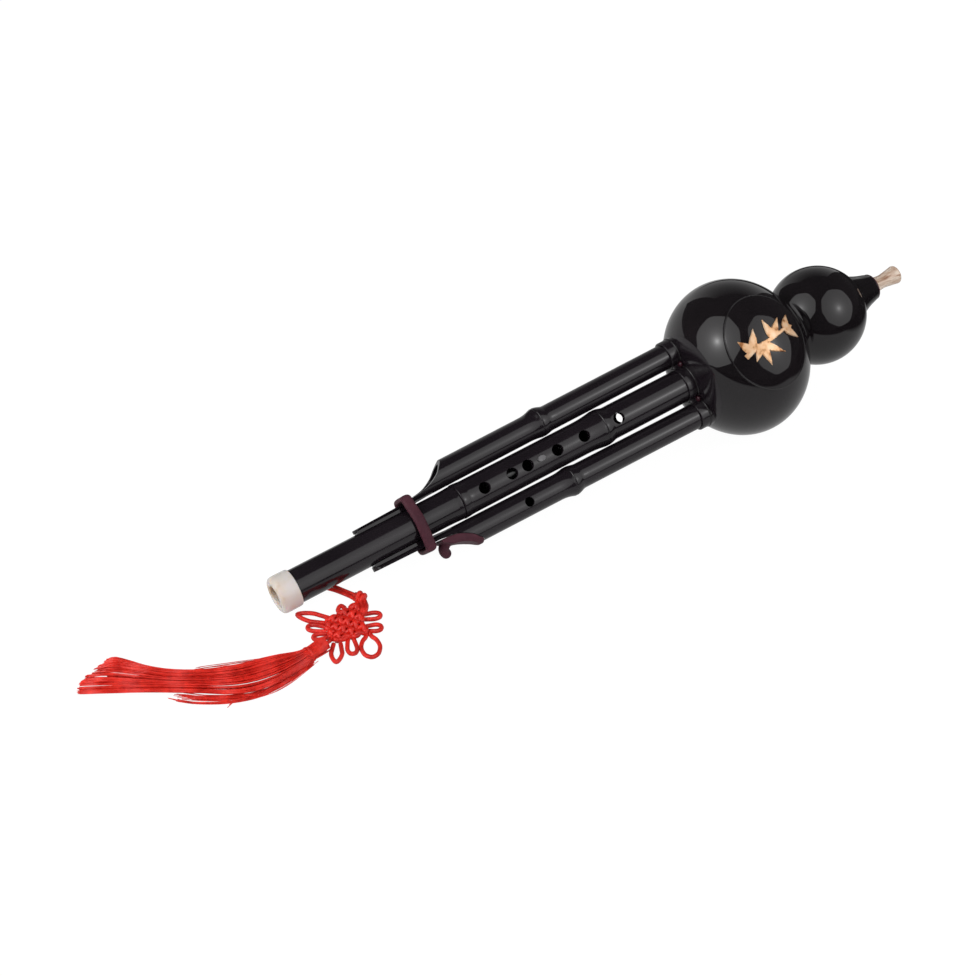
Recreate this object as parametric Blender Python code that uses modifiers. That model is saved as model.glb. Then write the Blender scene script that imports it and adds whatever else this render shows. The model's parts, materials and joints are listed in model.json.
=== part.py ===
"""A hulusi, or gourd flute: a black resin gourd that holds a fingered main pipe between two drone pipes.

Metres, +Z up. The flute lies at rest on its large bulb, its foot ring and the tail of its rubber stopper. +X runs
from the foot ring to the mouthpiece, and the origin is under the middle of the flute, on what it lies on. Pieces
of the flute are placed in the flute's own frame: x along the pipe axis from the foot ring's face, y towards the
silent drone, z the way the finger holes face. A second frame for each drone starts at its collar, x along the drone.
"""

import math

import bmesh
import bpy
from mathutils import Vector

# Clearances
TOUCH = 0.0003  # between two pieces that touch
SLIDING = 0.00015  # round a pipe in its collar

# Pipes
PIPE_REACH = 0.2543  # foot ring's face to the collars' faces
MAIN_RADIUS = 0.0094
MAIN_BORE = 0.0064
MAIN_FOOT_RADIUS = 0.0091  # below the lower bamboo joint
MAIN_FOOT_JOINT = 0.1092  # bamboo joints of the main pipe, from the foot
MAIN_HEAD_JOINT = 0.2007
MAIN_JOINT_RISE = 0.00105
MAIN_TAIL = 0.0442  # from the collar's face to the pipe's inner end
DRONE_RADIUS = 0.00713
DRONE_BORE = 0.0052
DRONE_GAP = 0.001775  # main pipe to drone at the collars
DRONE_TOE_IN = 0.0075  # radians, the drones close in towards the foot
DRONE_JOINT_RISE = 0.00145
DRONE_SPIGOT = 0.0046  # the thin end inside the gourd
DRONE_SPIGOT_BORE = 0.0031
SPIGOT_START = 0.0076  # behind the collar's face
SILENT_JOINT = 0.1700
SOUNDING_JOINT = 0.1712
SOUNDING_CUT = 0.1133  # where the slanted opening starts, from the foot
SILENT_CUT = SOUNDING_CUT - 0.0025
SILENT_TIP = 0.0515
SOUNDING_TIP = 0.0520
SILENT_TAIL = 0.0215  # from the collar's face to the inner end
SOUNDING_TAIL = 0.0372
# The slanted opening in a drone: distance towards the foot, and height over the drone's axis as a share of its radius
OPENING_SHAPE = ((-0.0010, 1.35), (0.0, 0.98), (0.0035, 0.48), (0.0068, 0.07), (0.0128, -0.35), (0.0188, -0.52))
SILENT_TONGUE = (-0.66, -0.74)  # the tongue's edge at its root and its end
SOUNDING_TONGUE = (-0.56, -0.62)
TONGUE_PAD_HALF_WIDTH = 0.0030

# Holes in the pipes
FINGER_HOLE_RADIUS = 0.0032
FINGER_HOLES_AT = (0.1235, 0.1408, 0.1507, 0.1697, 0.1870, 0.2097)
THUMB_HOLE_AT = 0.2183
DRONE_HOLE_RADIUS = 0.00265
DRONE_HOLE_AT = 0.1430
CORD_HOLE_RADIUS = 0.0018
CORD_HOLES_AT = (0.0245, 0.0295)
LABEL_AT = 0.1593
LABEL_LENGTH = 0.0053
LABEL_WIDTH = 0.0032
LABEL_THICKNESS = 0.0004

# Foot ring
RING_LENGTH = 0.0111
RING_RADIUS = 0.0102
RING_BORE = 0.0061
RING_LIP = 0.0045
FOOT_SPIGOT_RADIUS = 0.0079

# Pipe base
COLLAR_LENGTH = 0.0090  # collars' faces to the edge of the base's dome
COLLAR_WALL = 0.0010
BASE_PLUG_WALL = 0.001695  # a drone's inner end to the plug's outer face
BASE_LIP = 0.0023  # the dome's edge over the plug
DOME_DEPTH = 0.0035  # the dome's middle over its edge
DOME_FLATNESS = 4.4  # how flat the dome stays before it turns down to its edge
BASE_PLUG_LENGTH = 0.0085
BASE_GROOVE_DEPTH = 0.0012
BASE_GROOVE_WIDTH = 0.0024
BASE_GROOVE_SETBACK = 0.0034  # from the plug's end
BORE_OVERRUN = 0.0050  # how far the boring tools run past a face
WEB_HALF_HEIGHT = 0.0046
WEB_SETBACK = 0.0004
MAIN_SEAL_THICKNESS = 0.0018
DRONE_SEAL_THICKNESS = 0.0011

# Gourd
LOWER_RADIUS = 0.0445
LOWER_HALF_LENGTH = 0.0384
UPPER_RADIUS = 0.0281
UPPER_HALF_LENGTH = 0.0280
BULB_SPACING = 0.0576
WAIST_FROM_LOWER = 0.0353
WAIST_SOFTNESS = 6  # how sharply the two bulbs meet, higher is sharper
GOURD_WALL = 0.0034
NECK_BORE = 0.0120
NECK_SPIGOT_LENGTH = 0.0063
NECK_SPIGOT_WALL = 0.0022
SOCKET_BORE_IN_GOURD = 0.0056

# Medallion and ornament
MEDALLION_HALF_LENGTH = 0.0231
MEDALLION_HALF_WIDTH = 0.0268
MEDALLION_THICKNESS = 0.0008
ORNAMENT_THICKNESS = 0.0008
ORNAMENT_STEM_LENGTH = 0.0290
ORNAMENT_SHIFT = -0.0022  # towards the foot, so that the leaves too are centred
ORNAMENT_STEM_WIDTH = 0.0026
ORNAMENT_LEAF_WIDTH = 0.0058

# Mouthpiece
SOCKET_FLARE = 0.0127
SOCKET_LENGTH = 0.0131  # top of the upper bulb to the socket's rim
SOCKET_RIM_RADIUS = 0.0080
SOCKET_BORE = 0.00425
SOCKET_DEPTH = 0.0093
TIP_LENGTH = 0.0176
TIP_FLARE = 0.0054
TIP_NECK = 0.0039
TIP_ROOT = 0.0050
TIP_BORE = 0.0016

# Rubber ring and stopper
BAND_WIDTH = 0.0060
BAND_THICKNESS = 0.0033
STOPPER_THICKNESS = 0.0048
STOPPER_PLUG_DEPTH = 0.0020
STOPPER_LENGTH = 0.0238  # of the lid, from the top of the drone's cut
BAND_GAP = 0.0033  # from the rubber ring to the stopper's lid
BAND_AT = SOUNDING_CUT - STOPPER_LENGTH - BAND_GAP - BAND_WIDTH / 2
TONGUE_PAD_END = BAND_AT + 0.0158
STOPPER_PLUG_FROM = 0.0060  # the plug's ends, from the top of the cut
STOPPER_PLUG_TO = 0.0150
TAIL_RADIUS = 0.0026
TAIL_REST = 0.0029  # height of the middle of the tail's end over the floor
# The tail's route: distance from the top of the cut, distance out from the drone's axis, and share of the way down
TAIL_ROUTE = ((0.0192, -0.0012, 0.0), (0.0212, 0.0006, 0.36), (0.0215, 0.0024, 0.72))
TAIL_END = (0.0207, 0.0040)

# Reeds
REED_PLATE = (0.0190, 0.0066, 0.0008)
REED_SLOT = (0.0130, 0.0034)
REED_TONGUE = (0.0122, 0.0026, 0.00035)
DRONE_REED_PLATE = (0.0136, 0.0054, 0.0007)
DRONE_REED_SLOT = (0.0092, 0.0028)
DRONE_REED_TONGUE = (0.0085, 0.0020, 0.00030)

# Cord, knot and tassel, lying beside the foot
CORD_RADIUS = 0.0010
BUTTON_LENGTH = 0.0048
BUTTON_RADIUS = 0.0026
KNOT_SIDE = 0.0206
KNOT_THICKNESS = 0.0050
KNOT_HEIGHT = 0.0029  # of its middle over the floor
EAR_RADIUS = 0.00105
EAR_HEIGHT = 0.0023  # of its middle over the floor
# Outlines of an ear on one side: share of its length, share of its half width
LOOP = ((-0.10, 0.62), (0.30, 0.88), (0.66, 1.0), (0.92, 0.66))
LEAF = ((-0.10, 0.64), (0.26, 0.88), (0.52, 1.0), (0.82, 0.64))
RING = ((0.0, 0.27), (0.20, 0.72), (0.52, 1.0), (0.82, 0.78), (0.95, 0.42))
CAP_RADIUS = 0.0040
CORD_PIECES = ("cord_strand_left", "cord_strand_right", "button_knot", "endless_knot", "tassel_cap", "tassel_skirt")

# Where the flute lies
ROLL = math.radians(43.08)  # the finger holes face the viewer and up
TURN_TO_AXIS = (math.pi / 2, math.pi / 2 + ROLL, math.pi / 2)  # puts a shape spun about Z on x, its seam facing down

# Places that follow from the sizes above
DRONE_SPACING = MAIN_RADIUS + DRONE_RADIUS + DRONE_GAP
BASE_PLUG_RADIUS = DRONE_SPACING + DRONE_SPIGOT + BASE_PLUG_WALL
BASE_RADIUS = BASE_PLUG_RADIUS + BASE_LIP
RIM_AT = PIPE_REACH + COLLAR_LENGTH
LOWER_AT = RIM_AT + LOWER_HALF_LENGTH * math.sqrt(1 - (BASE_RADIUS / LOWER_RADIUS) ** 2)
UPPER_AT = LOWER_AT + BULB_SPACING
WAIST_AT = LOWER_AT + WAIST_FROM_LOWER
UPPER_TOP = UPPER_AT + UPPER_HALF_LENGTH
SOCKET_RIM_AT = UPPER_TOP + SOCKET_LENGTH
MAIN_END = PIPE_REACH + MAIN_TAIL
PLUG_END = RIM_AT + BASE_PLUG_LENGTH
OPENING_RADIUS = BASE_PLUG_RADIUS + TOUCH

# The flute rests on the ring near its face and on the lower bulb, which sets its slope
RING_REST = 0.0025
SLOPE = math.asin((LOWER_RADIUS - RING_RADIUS) / (LOWER_AT - RING_REST))
FOOT_HEIGHT = RING_RADIUS * math.cos(SLOPE) - RING_REST * math.sin(SLOPE)

MATERIALS = {}


def material(name, colour, roughness, metallic=0.0):
    """A plain finish, made once and shared by name."""
    if name not in MATERIALS:
        finish = bpy.data.materials.new(name)
        finish.use_nodes = True
        shader = finish.node_tree.nodes["Principled BSDF"]
        shader.inputs["Base Color"].default_value = (*colour, 1.0)
        shader.inputs["Roughness"].default_value = roughness
        shader.inputs["Metallic"].default_value = metallic
        finish.diffuse_color = (*colour, 1.0)
        MATERIALS[name] = finish
    return MATERIALS[name]


def black_resin():
    return material("black_resin", (0.012, 0.010, 0.011), 0.08)


def wine_rubber():
    return material("wine_rubber", (0.100, 0.032, 0.045), 0.45)


def white_resin():
    return material("white_resin", (0.80, 0.78, 0.74), 0.25)


def horn():
    return material("horn", (0.50, 0.35, 0.27), 0.30)


def gold():
    return material("gold", (0.90, 0.60, 0.32), 0.35, 0.8)


def silver():
    return material("silver", (0.62, 0.62, 0.63), 0.35, 0.9)


def brass():
    return material("brass", (0.78, 0.58, 0.28), 0.30, 1.0)


def seal_rubber():
    return material("seal_rubber", (0.03, 0.03, 0.03), 0.60)


def red_cord():
    return material("red_cord", (0.72, 0.03, 0.015), 0.55)


# Scene and frames


def clear_scene():
    for thing in list(bpy.data.objects):
        bpy.data.objects.remove(thing, do_unlink=True)


def collection(name):
    group = bpy.data.collections.new(name)
    bpy.context.scene.collection.children.link(group)
    return group


def empty(name, parent=None, location=(0, 0, 0), rotation=(0, 0, 0)):
    frame = bpy.data.objects.new(name, None)
    PARTS.objects.link(frame)
    frame.parent = parent
    frame.location = location
    frame.rotation_euler = rotation
    return frame


def finish_object(name, mesh, finish, parent, location=(0, 0, 0), rotation=(0, 0, 0)):
    """Puts a mesh into the scene as one named piece, or as a cutter if it has no finish."""
    thing = bpy.data.objects.new(name, mesh)
    if finish is None:
        CUTTERS.objects.link(thing)
        thing.hide_render = True
        thing.display_type = "WIRE"
    else:
        PARTS.objects.link(thing)
        mesh.materials.append(finish)
    thing.parent = parent
    thing.location = location
    thing.rotation_euler = rotation
    return thing


# Shapes


def turned(name, outline, finish, parent, steps=32, closed=True, location=(0, 0, 0)):
    """Spins (radius, x) points about the x axis. The outline runs down the outer side from high x to low x."""
    mesh = bpy.data.meshes.new(name)
    points = [(radius, 0.0, along) for radius, along in outline]
    edges = [(i, i + 1) for i in range(len(points) - 1)]
    if closed:
        edges.append((len(points) - 1, 0))
    mesh.from_pydata(points, edges, [])
    thing = finish_object(name, mesh, finish, parent, location, TURN_TO_AXIS)
    spin = thing.modifiers.new("spin", "SCREW")
    spin.axis = "Z"
    spin.steps = spin.render_steps = steps
    spin.use_merge_vertices = True
    spin.merge_threshold = 0.00001
    spin.use_smooth_shade = False
    return thing


def block(name, size, finish, parent, location=(0, 0, 0)):
    shape = bmesh.new()
    bmesh.ops.create_cube(shape, size=1.0)
    bmesh.ops.scale(shape, vec=Vector(size), verts=shape.verts)
    mesh = bpy.data.meshes.new(name)
    shape.to_mesh(mesh)
    shape.free()
    return finish_object(name, mesh, finish, parent, location)


def rod(name, radius, length, finish, parent, location, rotation=(0, 0, 0), sides=24):
    """A cylinder along its own Z, with its middle at location."""
    shape = bmesh.new()
    bmesh.ops.create_cone(shape, cap_ends=True, segments=sides, radius1=radius, radius2=radius, depth=length)
    mesh = bpy.data.meshes.new(name)
    shape.to_mesh(mesh)
    shape.free()
    return finish_object(name, mesh, finish, parent, location, rotation)


def ellipsoid(name, half_length, radius, parent, location, turns=40, rings=22):
    """A cutter with the bulb's form, half_length along x."""
    shape = bmesh.new()
    bmesh.ops.create_uvsphere(shape, u_segments=turns, v_segments=rings, radius=1.0)
    bmesh.ops.scale(shape, vec=Vector((radius, radius, half_length)), verts=shape.verts)
    mesh = bpy.data.meshes.new(name)
    shape.to_mesh(mesh)
    shape.free()
    return finish_object(name, mesh, None, parent, location, TURN_TO_AXIS)


def curve_mesh(curve, name):
    """The mesh of a curve, with its caps welded on."""
    holder = bpy.data.objects.new(name + "_curve", curve)
    bpy.context.scene.collection.objects.link(holder)
    bpy.context.view_layer.update()
    evaluated = holder.evaluated_get(bpy.context.evaluated_depsgraph_get())
    mesh = bpy.data.meshes.new_from_object(evaluated)
    mesh.name = name
    bpy.data.objects.remove(holder, do_unlink=True)
    shape = bmesh.new()
    shape.from_mesh(mesh)
    bmesh.ops.remove_doubles(shape, verts=shape.verts, dist=0.000002)
    bmesh.ops.recalc_face_normals(shape, faces=shape.faces)
    shape.to_mesh(mesh)
    shape.free()
    mesh.materials.clear()
    return mesh


def prism(name, outline, half_thickness, finish, parent, location=(0, 0, 0), rotation=(0, 0, 0)):
    """A flat outline in the xy plane, made half_thickness thick each way."""
    curve = bpy.data.curves.new(name, "CURVE")
    curve.dimensions = "2D"
    curve.fill_mode = "BOTH"
    curve.extrude = half_thickness
    spline = curve.splines.new("POLY")
    spline.points.add(len(outline) - 1)
    for point, (x, y) in zip(spline.points, outline):
        point.co = (x, y, 0.0, 1.0)
    spline.use_cyclic_u = True
    return finish_object(name, curve_mesh(curve, name), finish, parent, location, rotation)


def tube_curve(name, points, radius, sides_level=2):
    curve = bpy.data.curves.new(name, "CURVE")
    curve.dimensions = "3D"
    curve.bevel_depth = radius
    curve.bevel_resolution = sides_level
    curve.use_fill_caps = True
    spline = curve.splines.new("POLY")
    spline.points.add(len(points) - 1)
    for point, place in zip(spline.points, points):
        point.co = (*place, 1.0)
    return curve


def tube(name, points, radius, finish, parent, sides_level=2):
    """A round tube along the points, welded so that it can be joined or cut."""
    curve = tube_curve(name, points, radius, sides_level)
    return finish_object(name, curve_mesh(curve, name), finish, parent)


def smooth_through(points, steps):
    """Points on one smooth curve through the given ones, steps to each stretch."""
    route = [Vector(p) for p in points]
    route = [route[0] * 2 - route[1]] + route + [route[-1] * 2 - route[-2]]
    result = []
    for i in range(1, len(route) - 2):
        before, start, end, after = route[i - 1 : i + 3]
        for k in range(steps):
            t = k / steps
            result.append(
                0.5
                * (
                    2 * start
                    + (end - before) * t
                    + (2 * before - 5 * start + 4 * end - after) * t**2
                    + (3 * start - before - 3 * end + after) * t**3
                )
            )
    return result + [route[-2]]


def combine(target, other, operation):
    """Joins, cuts or keeps the overlap of a piece with a helper shape."""
    change = target.modifiers.new(operation.lower(), "BOOLEAN")
    change.operation = operation
    change.solver = "EXACT"
    change.object = other


def cut(target, other):
    combine(target, other, "DIFFERENCE")


def join(target, other):
    combine(target, other, "UNION")


def keep_inside(target, other):
    combine(target, other, "INTERSECT")


def arc(centre, radius, start, end, steps):
    """(x, y) points on an arc, angles in degrees."""
    result = []
    for k in range(steps + 1):
        angle = math.radians(start + (end - start) * k / steps)
        result.append((centre[0] + radius * math.cos(angle), centre[1] + radius * math.sin(angle)))
    return result


def ellipse(half_length, half_width, count):
    result = []
    for k in range(count):
        angle = 2 * math.pi * k / count
        result.append((half_length * math.cos(angle), half_width * math.sin(angle)))
    return result


# Gourd


def bulb_radius(along, centre, half_length, radius):
    share = 1 - ((along - centre) / half_length) ** 2
    return radius * math.sqrt(share) if share > 0 else 0.0


def gourd_radius(along):
    """Outer radius of the gourd, the two bulbs running smoothly into each other at the waist."""
    lower = bulb_radius(along, LOWER_AT, LOWER_HALF_LENGTH, LOWER_RADIUS)
    upper = bulb_radius(along, UPPER_AT, UPPER_HALF_LENGTH, UPPER_RADIUS)
    return (lower**WAIST_SOFTNESS + upper**WAIST_SOFTNESS) ** (1 / WAIST_SOFTNESS)


def bulb_angles(start, end, count):
    return [start + (end - start) * k / count for k in range(count + 1)]


def bulb_stations(centre, half_length, low, high, count):
    """Places along x, spread evenly in angle round a bulb."""
    start = math.acos(max(-1.0, min(1.0, (high - centre) / half_length)))
    end = math.acos(max(-1.0, min(1.0, (low - centre) / half_length)))
    return [centre + half_length * math.cos(angle) for angle in bulb_angles(start, end, count)]


def build_lower_bulb(flute):
    inner_length = LOWER_HALF_LENGTH - GOURD_WALL
    inner_radius = LOWER_RADIUS - GOURD_WALL
    rim = RIM_AT + TOUCH
    outline = []
    for along in bulb_stations(LOWER_AT, LOWER_HALF_LENGTH, rim, WAIST_AT, 20):
        outline.append((gourd_radius(along), along))
    seat_end = PLUG_END - 0.0008
    neck = LOWER_AT + inner_length * math.sqrt(1 - (NECK_BORE / inner_radius) ** 2)
    outline += [(OPENING_RADIUS, rim), (OPENING_RADIUS, seat_end)]
    for along in reversed(bulb_stations(LOWER_AT, inner_length, seat_end, neck, 12)):
        outline.append((bulb_radius(along, LOWER_AT, inner_length, inner_radius), along))
    outline.append((NECK_BORE, WAIST_AT))
    return turned("gourd_lower_bulb", outline, black_resin(), flute, steps=48)


def build_upper_bulb(flute):
    inner_length = UPPER_HALF_LENGTH - GOURD_WALL
    inner_radius = UPPER_RADIUS - GOURD_WALL
    waist = WAIST_AT + TOUCH
    spigot = NECK_BORE - TOUCH
    spigot_bore = spigot - NECK_SPIGOT_WALL
    opening = SOCKET_BORE_IN_GOURD
    top = UPPER_AT + UPPER_HALF_LENGTH * math.sqrt(1 - (opening / UPPER_RADIUS) ** 2)
    outline = []
    for along in bulb_stations(UPPER_AT, UPPER_HALF_LENGTH, waist, top, 16):
        outline.append((gourd_radius(along), along))
    outline += [(spigot, waist), (spigot, waist - NECK_SPIGOT_LENGTH), (spigot_bore, waist - NECK_SPIGOT_LENGTH)]
    low = UPPER_AT - inner_length * math.sqrt(1 - (spigot_bore / inner_radius) ** 2)
    high = UPPER_AT + inner_length * math.sqrt(1 - (opening / inner_radius) ** 2)
    for along in reversed(bulb_stations(UPPER_AT, inner_length, low, high, 10)):
        outline.append((bulb_radius(along, UPPER_AT, inner_length, inner_radius), along))
    return turned("gourd_upper_bulb", outline, black_resin(), flute, steps=40)


def bulb_shell(name, inside, outside, finish, flute):
    """The part of a shell round the lower bulb, from inside to outside over its surface, ready to be trimmed."""
    at = (LOWER_AT, 0, 0)
    shell = ellipsoid(name, LOWER_HALF_LENGTH + outside, LOWER_RADIUS + outside, flute, at)
    hollow = ellipsoid(name + "_hollow", LOWER_HALF_LENGTH + inside, LOWER_RADIUS + inside, flute, at)
    CUTTERS.objects.unlink(shell)
    PARTS.objects.link(shell)
    shell.hide_render = False
    shell.display_type = "TEXTURED"
    shell.data.materials.append(finish)
    cut(shell, hollow)
    return shell


def build_medallion(flute):
    disc = bulb_shell("medallion_disc", TOUCH, TOUCH + MEDALLION_THICKNESS, black_resin(), flute)
    middle = (LOWER_AT, 0, LOWER_RADIUS)
    outline = ellipse(MEDALLION_HALF_LENGTH, MEDALLION_HALF_WIDTH, 48)
    keep_inside(disc, prism("medallion_trim", outline, LOWER_RADIUS / 2, None, flute, middle))
    return disc


def leaf_outline(length, width):
    """A bamboo leaf along +x from its stalk, widest near a third of the way and pointed at its end."""
    half = []
    for k in range(9):
        t = k / 8
        half.append((length * t, width / 2 * (math.sin(math.pi * t**0.62) * 0.94 + 0.06 * (1 - t))))
    return half + [(x, -y) for x, y in reversed(half[:-1])]


def build_ornament(flute):
    """A bamboo sprig in relief on the medallion: a stem with two joints and three groups of leaves."""
    inside = TOUCH * 2 + MEDALLION_THICKNESS
    sprig = bulb_shell("gold_ornament", inside, inside + ORNAMENT_THICKNESS, gold(), flute)
    top = LOWER_RADIUS
    stem = ORNAMENT_STEM_LENGTH
    wide = ORNAMENT_STEM_WIDTH
    half = stem / 2
    line = [(-half, -0.10 * stem), (-0.45 * half, -0.02 * stem), (0.1 * half, 0.0), (half, 0.07 * stem)]
    middle = [p.to_2d() for p in smooth_through([(x, y, 0) for x, y in line], 4)]
    side_a = []
    side_b = []
    for k, place in enumerate(middle):
        ahead = middle[min(k + 1, len(middle) - 1)] - middle[max(k - 1, 0)]
        across = Vector((-ahead.y, ahead.x)).normalized() * wide / 2 * (1.1 - 0.4 * k / (len(middle) - 1))
        side_a.append(tuple(place + across))
        side_b.append(tuple(place - across))
    centre = LOWER_AT + ORNAMENT_SHIFT
    motif = prism("sprig_stem", side_a + side_b[::-1], top / 2, None, flute, (centre, 0, top))
    # Each leaf: place along the stem, angle, length as a share of the stem
    leaves = ((0.16, 62, 0.46), (0.16, 116, 0.36), (0.42, -40, 0.52), (0.42, -86, 0.46), (0.42, -130, 0.36))
    leaves += ((0.70, 44, 0.46), (0.70, 92, 0.42), (0.96, -4, 0.24), (0.96, -50, 0.38), (0.96, 48, 0.32))
    for count, (share, angle, length) in enumerate(leaves):
        place = middle[round(share * (len(middle) - 1))]
        outline = leaf_outline(length * stem, ORNAMENT_LEAF_WIDTH)
        turn = (0, 0, math.radians(angle))
        back = Vector((math.cos(turn[2]), math.sin(turn[2]))) * wide * 0.35
        at = (centre + place.x - back.x, place.y - back.y, top)
        name = "sprig_leaf_%d" % (count + 1)
        height = top / 2 - 0.0001 * (count + 1)
        join(motif, prism(name, outline, height, None, flute, at, turn))
    keep_inside(sprig, motif)
    return sprig


# Pipe base


def dome_outline(count):
    """(radius, x) points of the base's flattened dome, from its edge to its middle."""
    points = []
    for k in range(count + 1):
        share = math.cos(math.pi / 2 * k / count)
        rise = DOME_DEPTH * (1 - share**DOME_FLATNESS)
        points.append((BASE_RADIUS * share, RIM_AT - rise))
    points[-1] = (0.0, RIM_AT - DOME_DEPTH)
    return points


def build_base(flute, drones):
    groove_end = PLUG_END - BASE_GROOVE_SETBACK
    groove = (groove_end - BASE_GROOVE_WIDTH, groove_end)
    groove_root = BASE_PLUG_RADIUS - BASE_GROOVE_DEPTH
    outline = [(0.0, PLUG_END), (BASE_PLUG_RADIUS, PLUG_END), (BASE_PLUG_RADIUS, groove[1])]
    outline += [(groove_root, groove[1]), (groove_root, groove[0]), (BASE_PLUG_RADIUS, groove[0])]
    outline += [(BASE_PLUG_RADIUS, RIM_AT)]
    outline += dome_outline(9)
    base = turned("pipe_base", outline, black_resin(), flute, steps=48, closed=False)
    collar_end = RIM_AT - TOUCH
    length = collar_end - PIPE_REACH
    middle = PIPE_REACH + length / 2
    collar = rod("main_collar", MAIN_RADIUS + COLLAR_WALL, length, None, flute, (middle, 0, 0), TURN_TO_AXIS, 36)
    join(base, collar)
    for side, drone in drones:
        name = "collar_%s" % ("silent" if side > 0 else "sounding")
        radius = DRONE_RADIUS + COLLAR_WALL + SLIDING
        join(base, rod(name, radius, length, None, drone, (length / 2, 0, 0), TURN_TO_AXIS, 32))
    web_length = length - WEB_SETBACK
    web_size = (web_length, DRONE_SPACING * 2, WEB_HALF_HEIGHT * 2)
    join(base, block("web", web_size, None, flute, (PIPE_REACH + WEB_SETBACK + web_length / 2, 0, 0)))
    bore_length = PLUG_END - PIPE_REACH + BORE_OVERRUN * 2
    bore_at = (PIPE_REACH + bore_length / 2 - BORE_OVERRUN, 0, 0)
    cut(base, rod("main_bore", MAIN_RADIUS + SLIDING, bore_length, None, flute, bore_at, TURN_TO_AXIS, 32))
    for side, drone in drones:
        name = "silent" if side > 0 else "sounding"
        seat = SPIGOT_START + TOUCH + BORE_OVERRUN
        at = (seat / 2 - BORE_OVERRUN, 0, 0)
        cut(base, rod("seat_" + name, DRONE_RADIUS + SLIDING, seat, None, drone, at, TURN_TO_AXIS, 32))
        at = (bore_length / 2 - BORE_OVERRUN, 0, 0)
        cut(base, rod("bore_" + name, DRONE_SPIGOT + SLIDING, bore_length, None, drone, at, TURN_TO_AXIS, 24))
    seal = [(BASE_PLUG_RADIUS, groove[1] - TOUCH), (BASE_PLUG_RADIUS, groove[0] + TOUCH)]
    seal += [(groove_root + TOUCH, groove[0] + TOUCH), (groove_root + TOUCH, groove[1] - TOUCH)]
    turned("base_seal", seal, seal_rubber(), flute, steps=40)
    return base


def pipe_seal(name, pipe_radius, thickness, parent, start):
    """A rubber grommet round a pipe, on the base's inner face."""
    inner = pipe_radius + TOUCH
    outer = inner + thickness
    high = start + 0.0024
    outline = [(inner, high), (outer - 0.0005, high), (outer, high - 0.0005), (outer, start), (inner, start)]
    return turned(name, outline, seal_rubber(), parent, steps=24)


# Pipes


def joint_outline(at, radius_above, radius_below, rise, spread=1.0):
    """(radius, x) points of a bamboo joint, from high x to low x: two close ridges, and a long taper below."""
    return [
        (radius_above, at + 0.0062),
        (radius_above + rise * 0.50, at + 0.0038),
        (radius_above + rise * 0.96, at + 0.0014),
        (radius_above + rise * 0.98, at + 0.0004),
        (radius_above + rise * 0.78, at),
        (radius_below + rise * 0.96, at - 0.0005),
        (radius_below + rise * 0.64, at - 0.0023 * spread),
        (radius_below + rise * 0.24, at - 0.0048 * spread),
        (radius_below, at - 0.0080 * spread),
    ]


def joint_rise(at, full):
    """A joint swells until it just clears the pipe beside it."""
    gap = DRONE_GAP - (PIPE_REACH - at) * math.tan(DRONE_TOE_IN)
    return min(full, gap - TOUCH)


def build_main_pipe(flute):
    outline = [(MAIN_BORE, MAIN_END), (MAIN_RADIUS, MAIN_END)]
    outline += joint_outline(MAIN_HEAD_JOINT, MAIN_RADIUS, MAIN_RADIUS, joint_rise(MAIN_HEAD_JOINT, MAIN_JOINT_RISE), 1.6)
    outline += joint_outline(MAIN_FOOT_JOINT, MAIN_RADIUS, MAIN_FOOT_RADIUS, joint_rise(MAIN_FOOT_JOINT, MAIN_JOINT_RISE), 1.6)
    shoulder = RING_LENGTH + TOUCH
    outline += [(MAIN_FOOT_RADIUS, shoulder), (FOOT_SPIGOT_RADIUS, shoulder)]
    outline += [(FOOT_SPIGOT_RADIUS, RING_LIP + TOUCH), (MAIN_BORE, RING_LIP + TOUCH)]
    pipe = turned("main_pipe", outline, black_resin(), flute, steps=36)
    reach = MAIN_RADIUS * 1.4
    for count, at in enumerate(FINGER_HOLES_AT):
        hole = rod("finger_hole_%d" % (count + 1), FINGER_HOLE_RADIUS, reach, None, flute, (at, 0, reach / 2), sides=20)
        cut(pipe, hole)
    cut(pipe, rod("thumb_hole", FINGER_HOLE_RADIUS, reach, None, flute, (THUMB_HOLE_AT, 0, -reach / 2), sides=20))
    for count, at in enumerate(CORD_HOLES_AT):
        hole = rod("cord_hole_%d" % (count + 1), CORD_HOLE_RADIUS, reach, None, flute, (at, 0, -reach / 2), sides=12)
        cut(pipe, hole)
    plate_length, plate_width, plate_height = REED_PLATE
    reed_at = MAIN_END - 0.0130
    seat_height = MAIN_BORE + 0.0009
    seat_size = (plate_length + TOUCH * 2 + 0.0004, MAIN_RADIUS * 2.2, 0.0040)
    cut(pipe, block("reed_seat", seat_size, None, flute, (reed_at, 0, seat_height + 0.0020)))
    slot_size = (REED_SLOT[0] + 0.0006, REED_SLOT[1] + 0.0006, 0.0060)
    cut(pipe, block("reed_port", slot_size, None, flute, (reed_at, 0, seat_height)))
    build_reed("main_reed", flute, reed_at, seat_height + TOUCH, REED_PLATE, REED_SLOT, REED_TONGUE)
    build_cap("main_pipe_cap", flute, MAIN_END, MAIN_RADIUS, MAIN_BORE)
    return pipe


def build_reed(name, parent, at, height, plate, slot, tongue):
    """A brass plate with a slot, and the tongue that beats in it, rooted at the slot's end nearest the pipe's end."""
    length, width, thickness = plate
    middle = height + thickness / 2
    frame = block(name + "_plate", plate, brass(), parent, (at, 0, middle))
    cut(frame, block(name + "_slot", (slot[0], slot[1], thickness * 3), None, parent, (at, 0, middle)))
    root = at + tongue[0] / 2
    tip = at - tongue[0] / 2
    outline = [(root, tongue[1] / 2), (tip, tongue[1] * 0.30), (tip, -tongue[1] * 0.30), (root, -tongue[1] / 2)]
    place = (-root, 0)
    outline = [(x + place[0], y) for x, y in outline]
    prism(name + "_tongue", outline, tongue[2] / 2, brass(), parent, (root, 0, middle))


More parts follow.
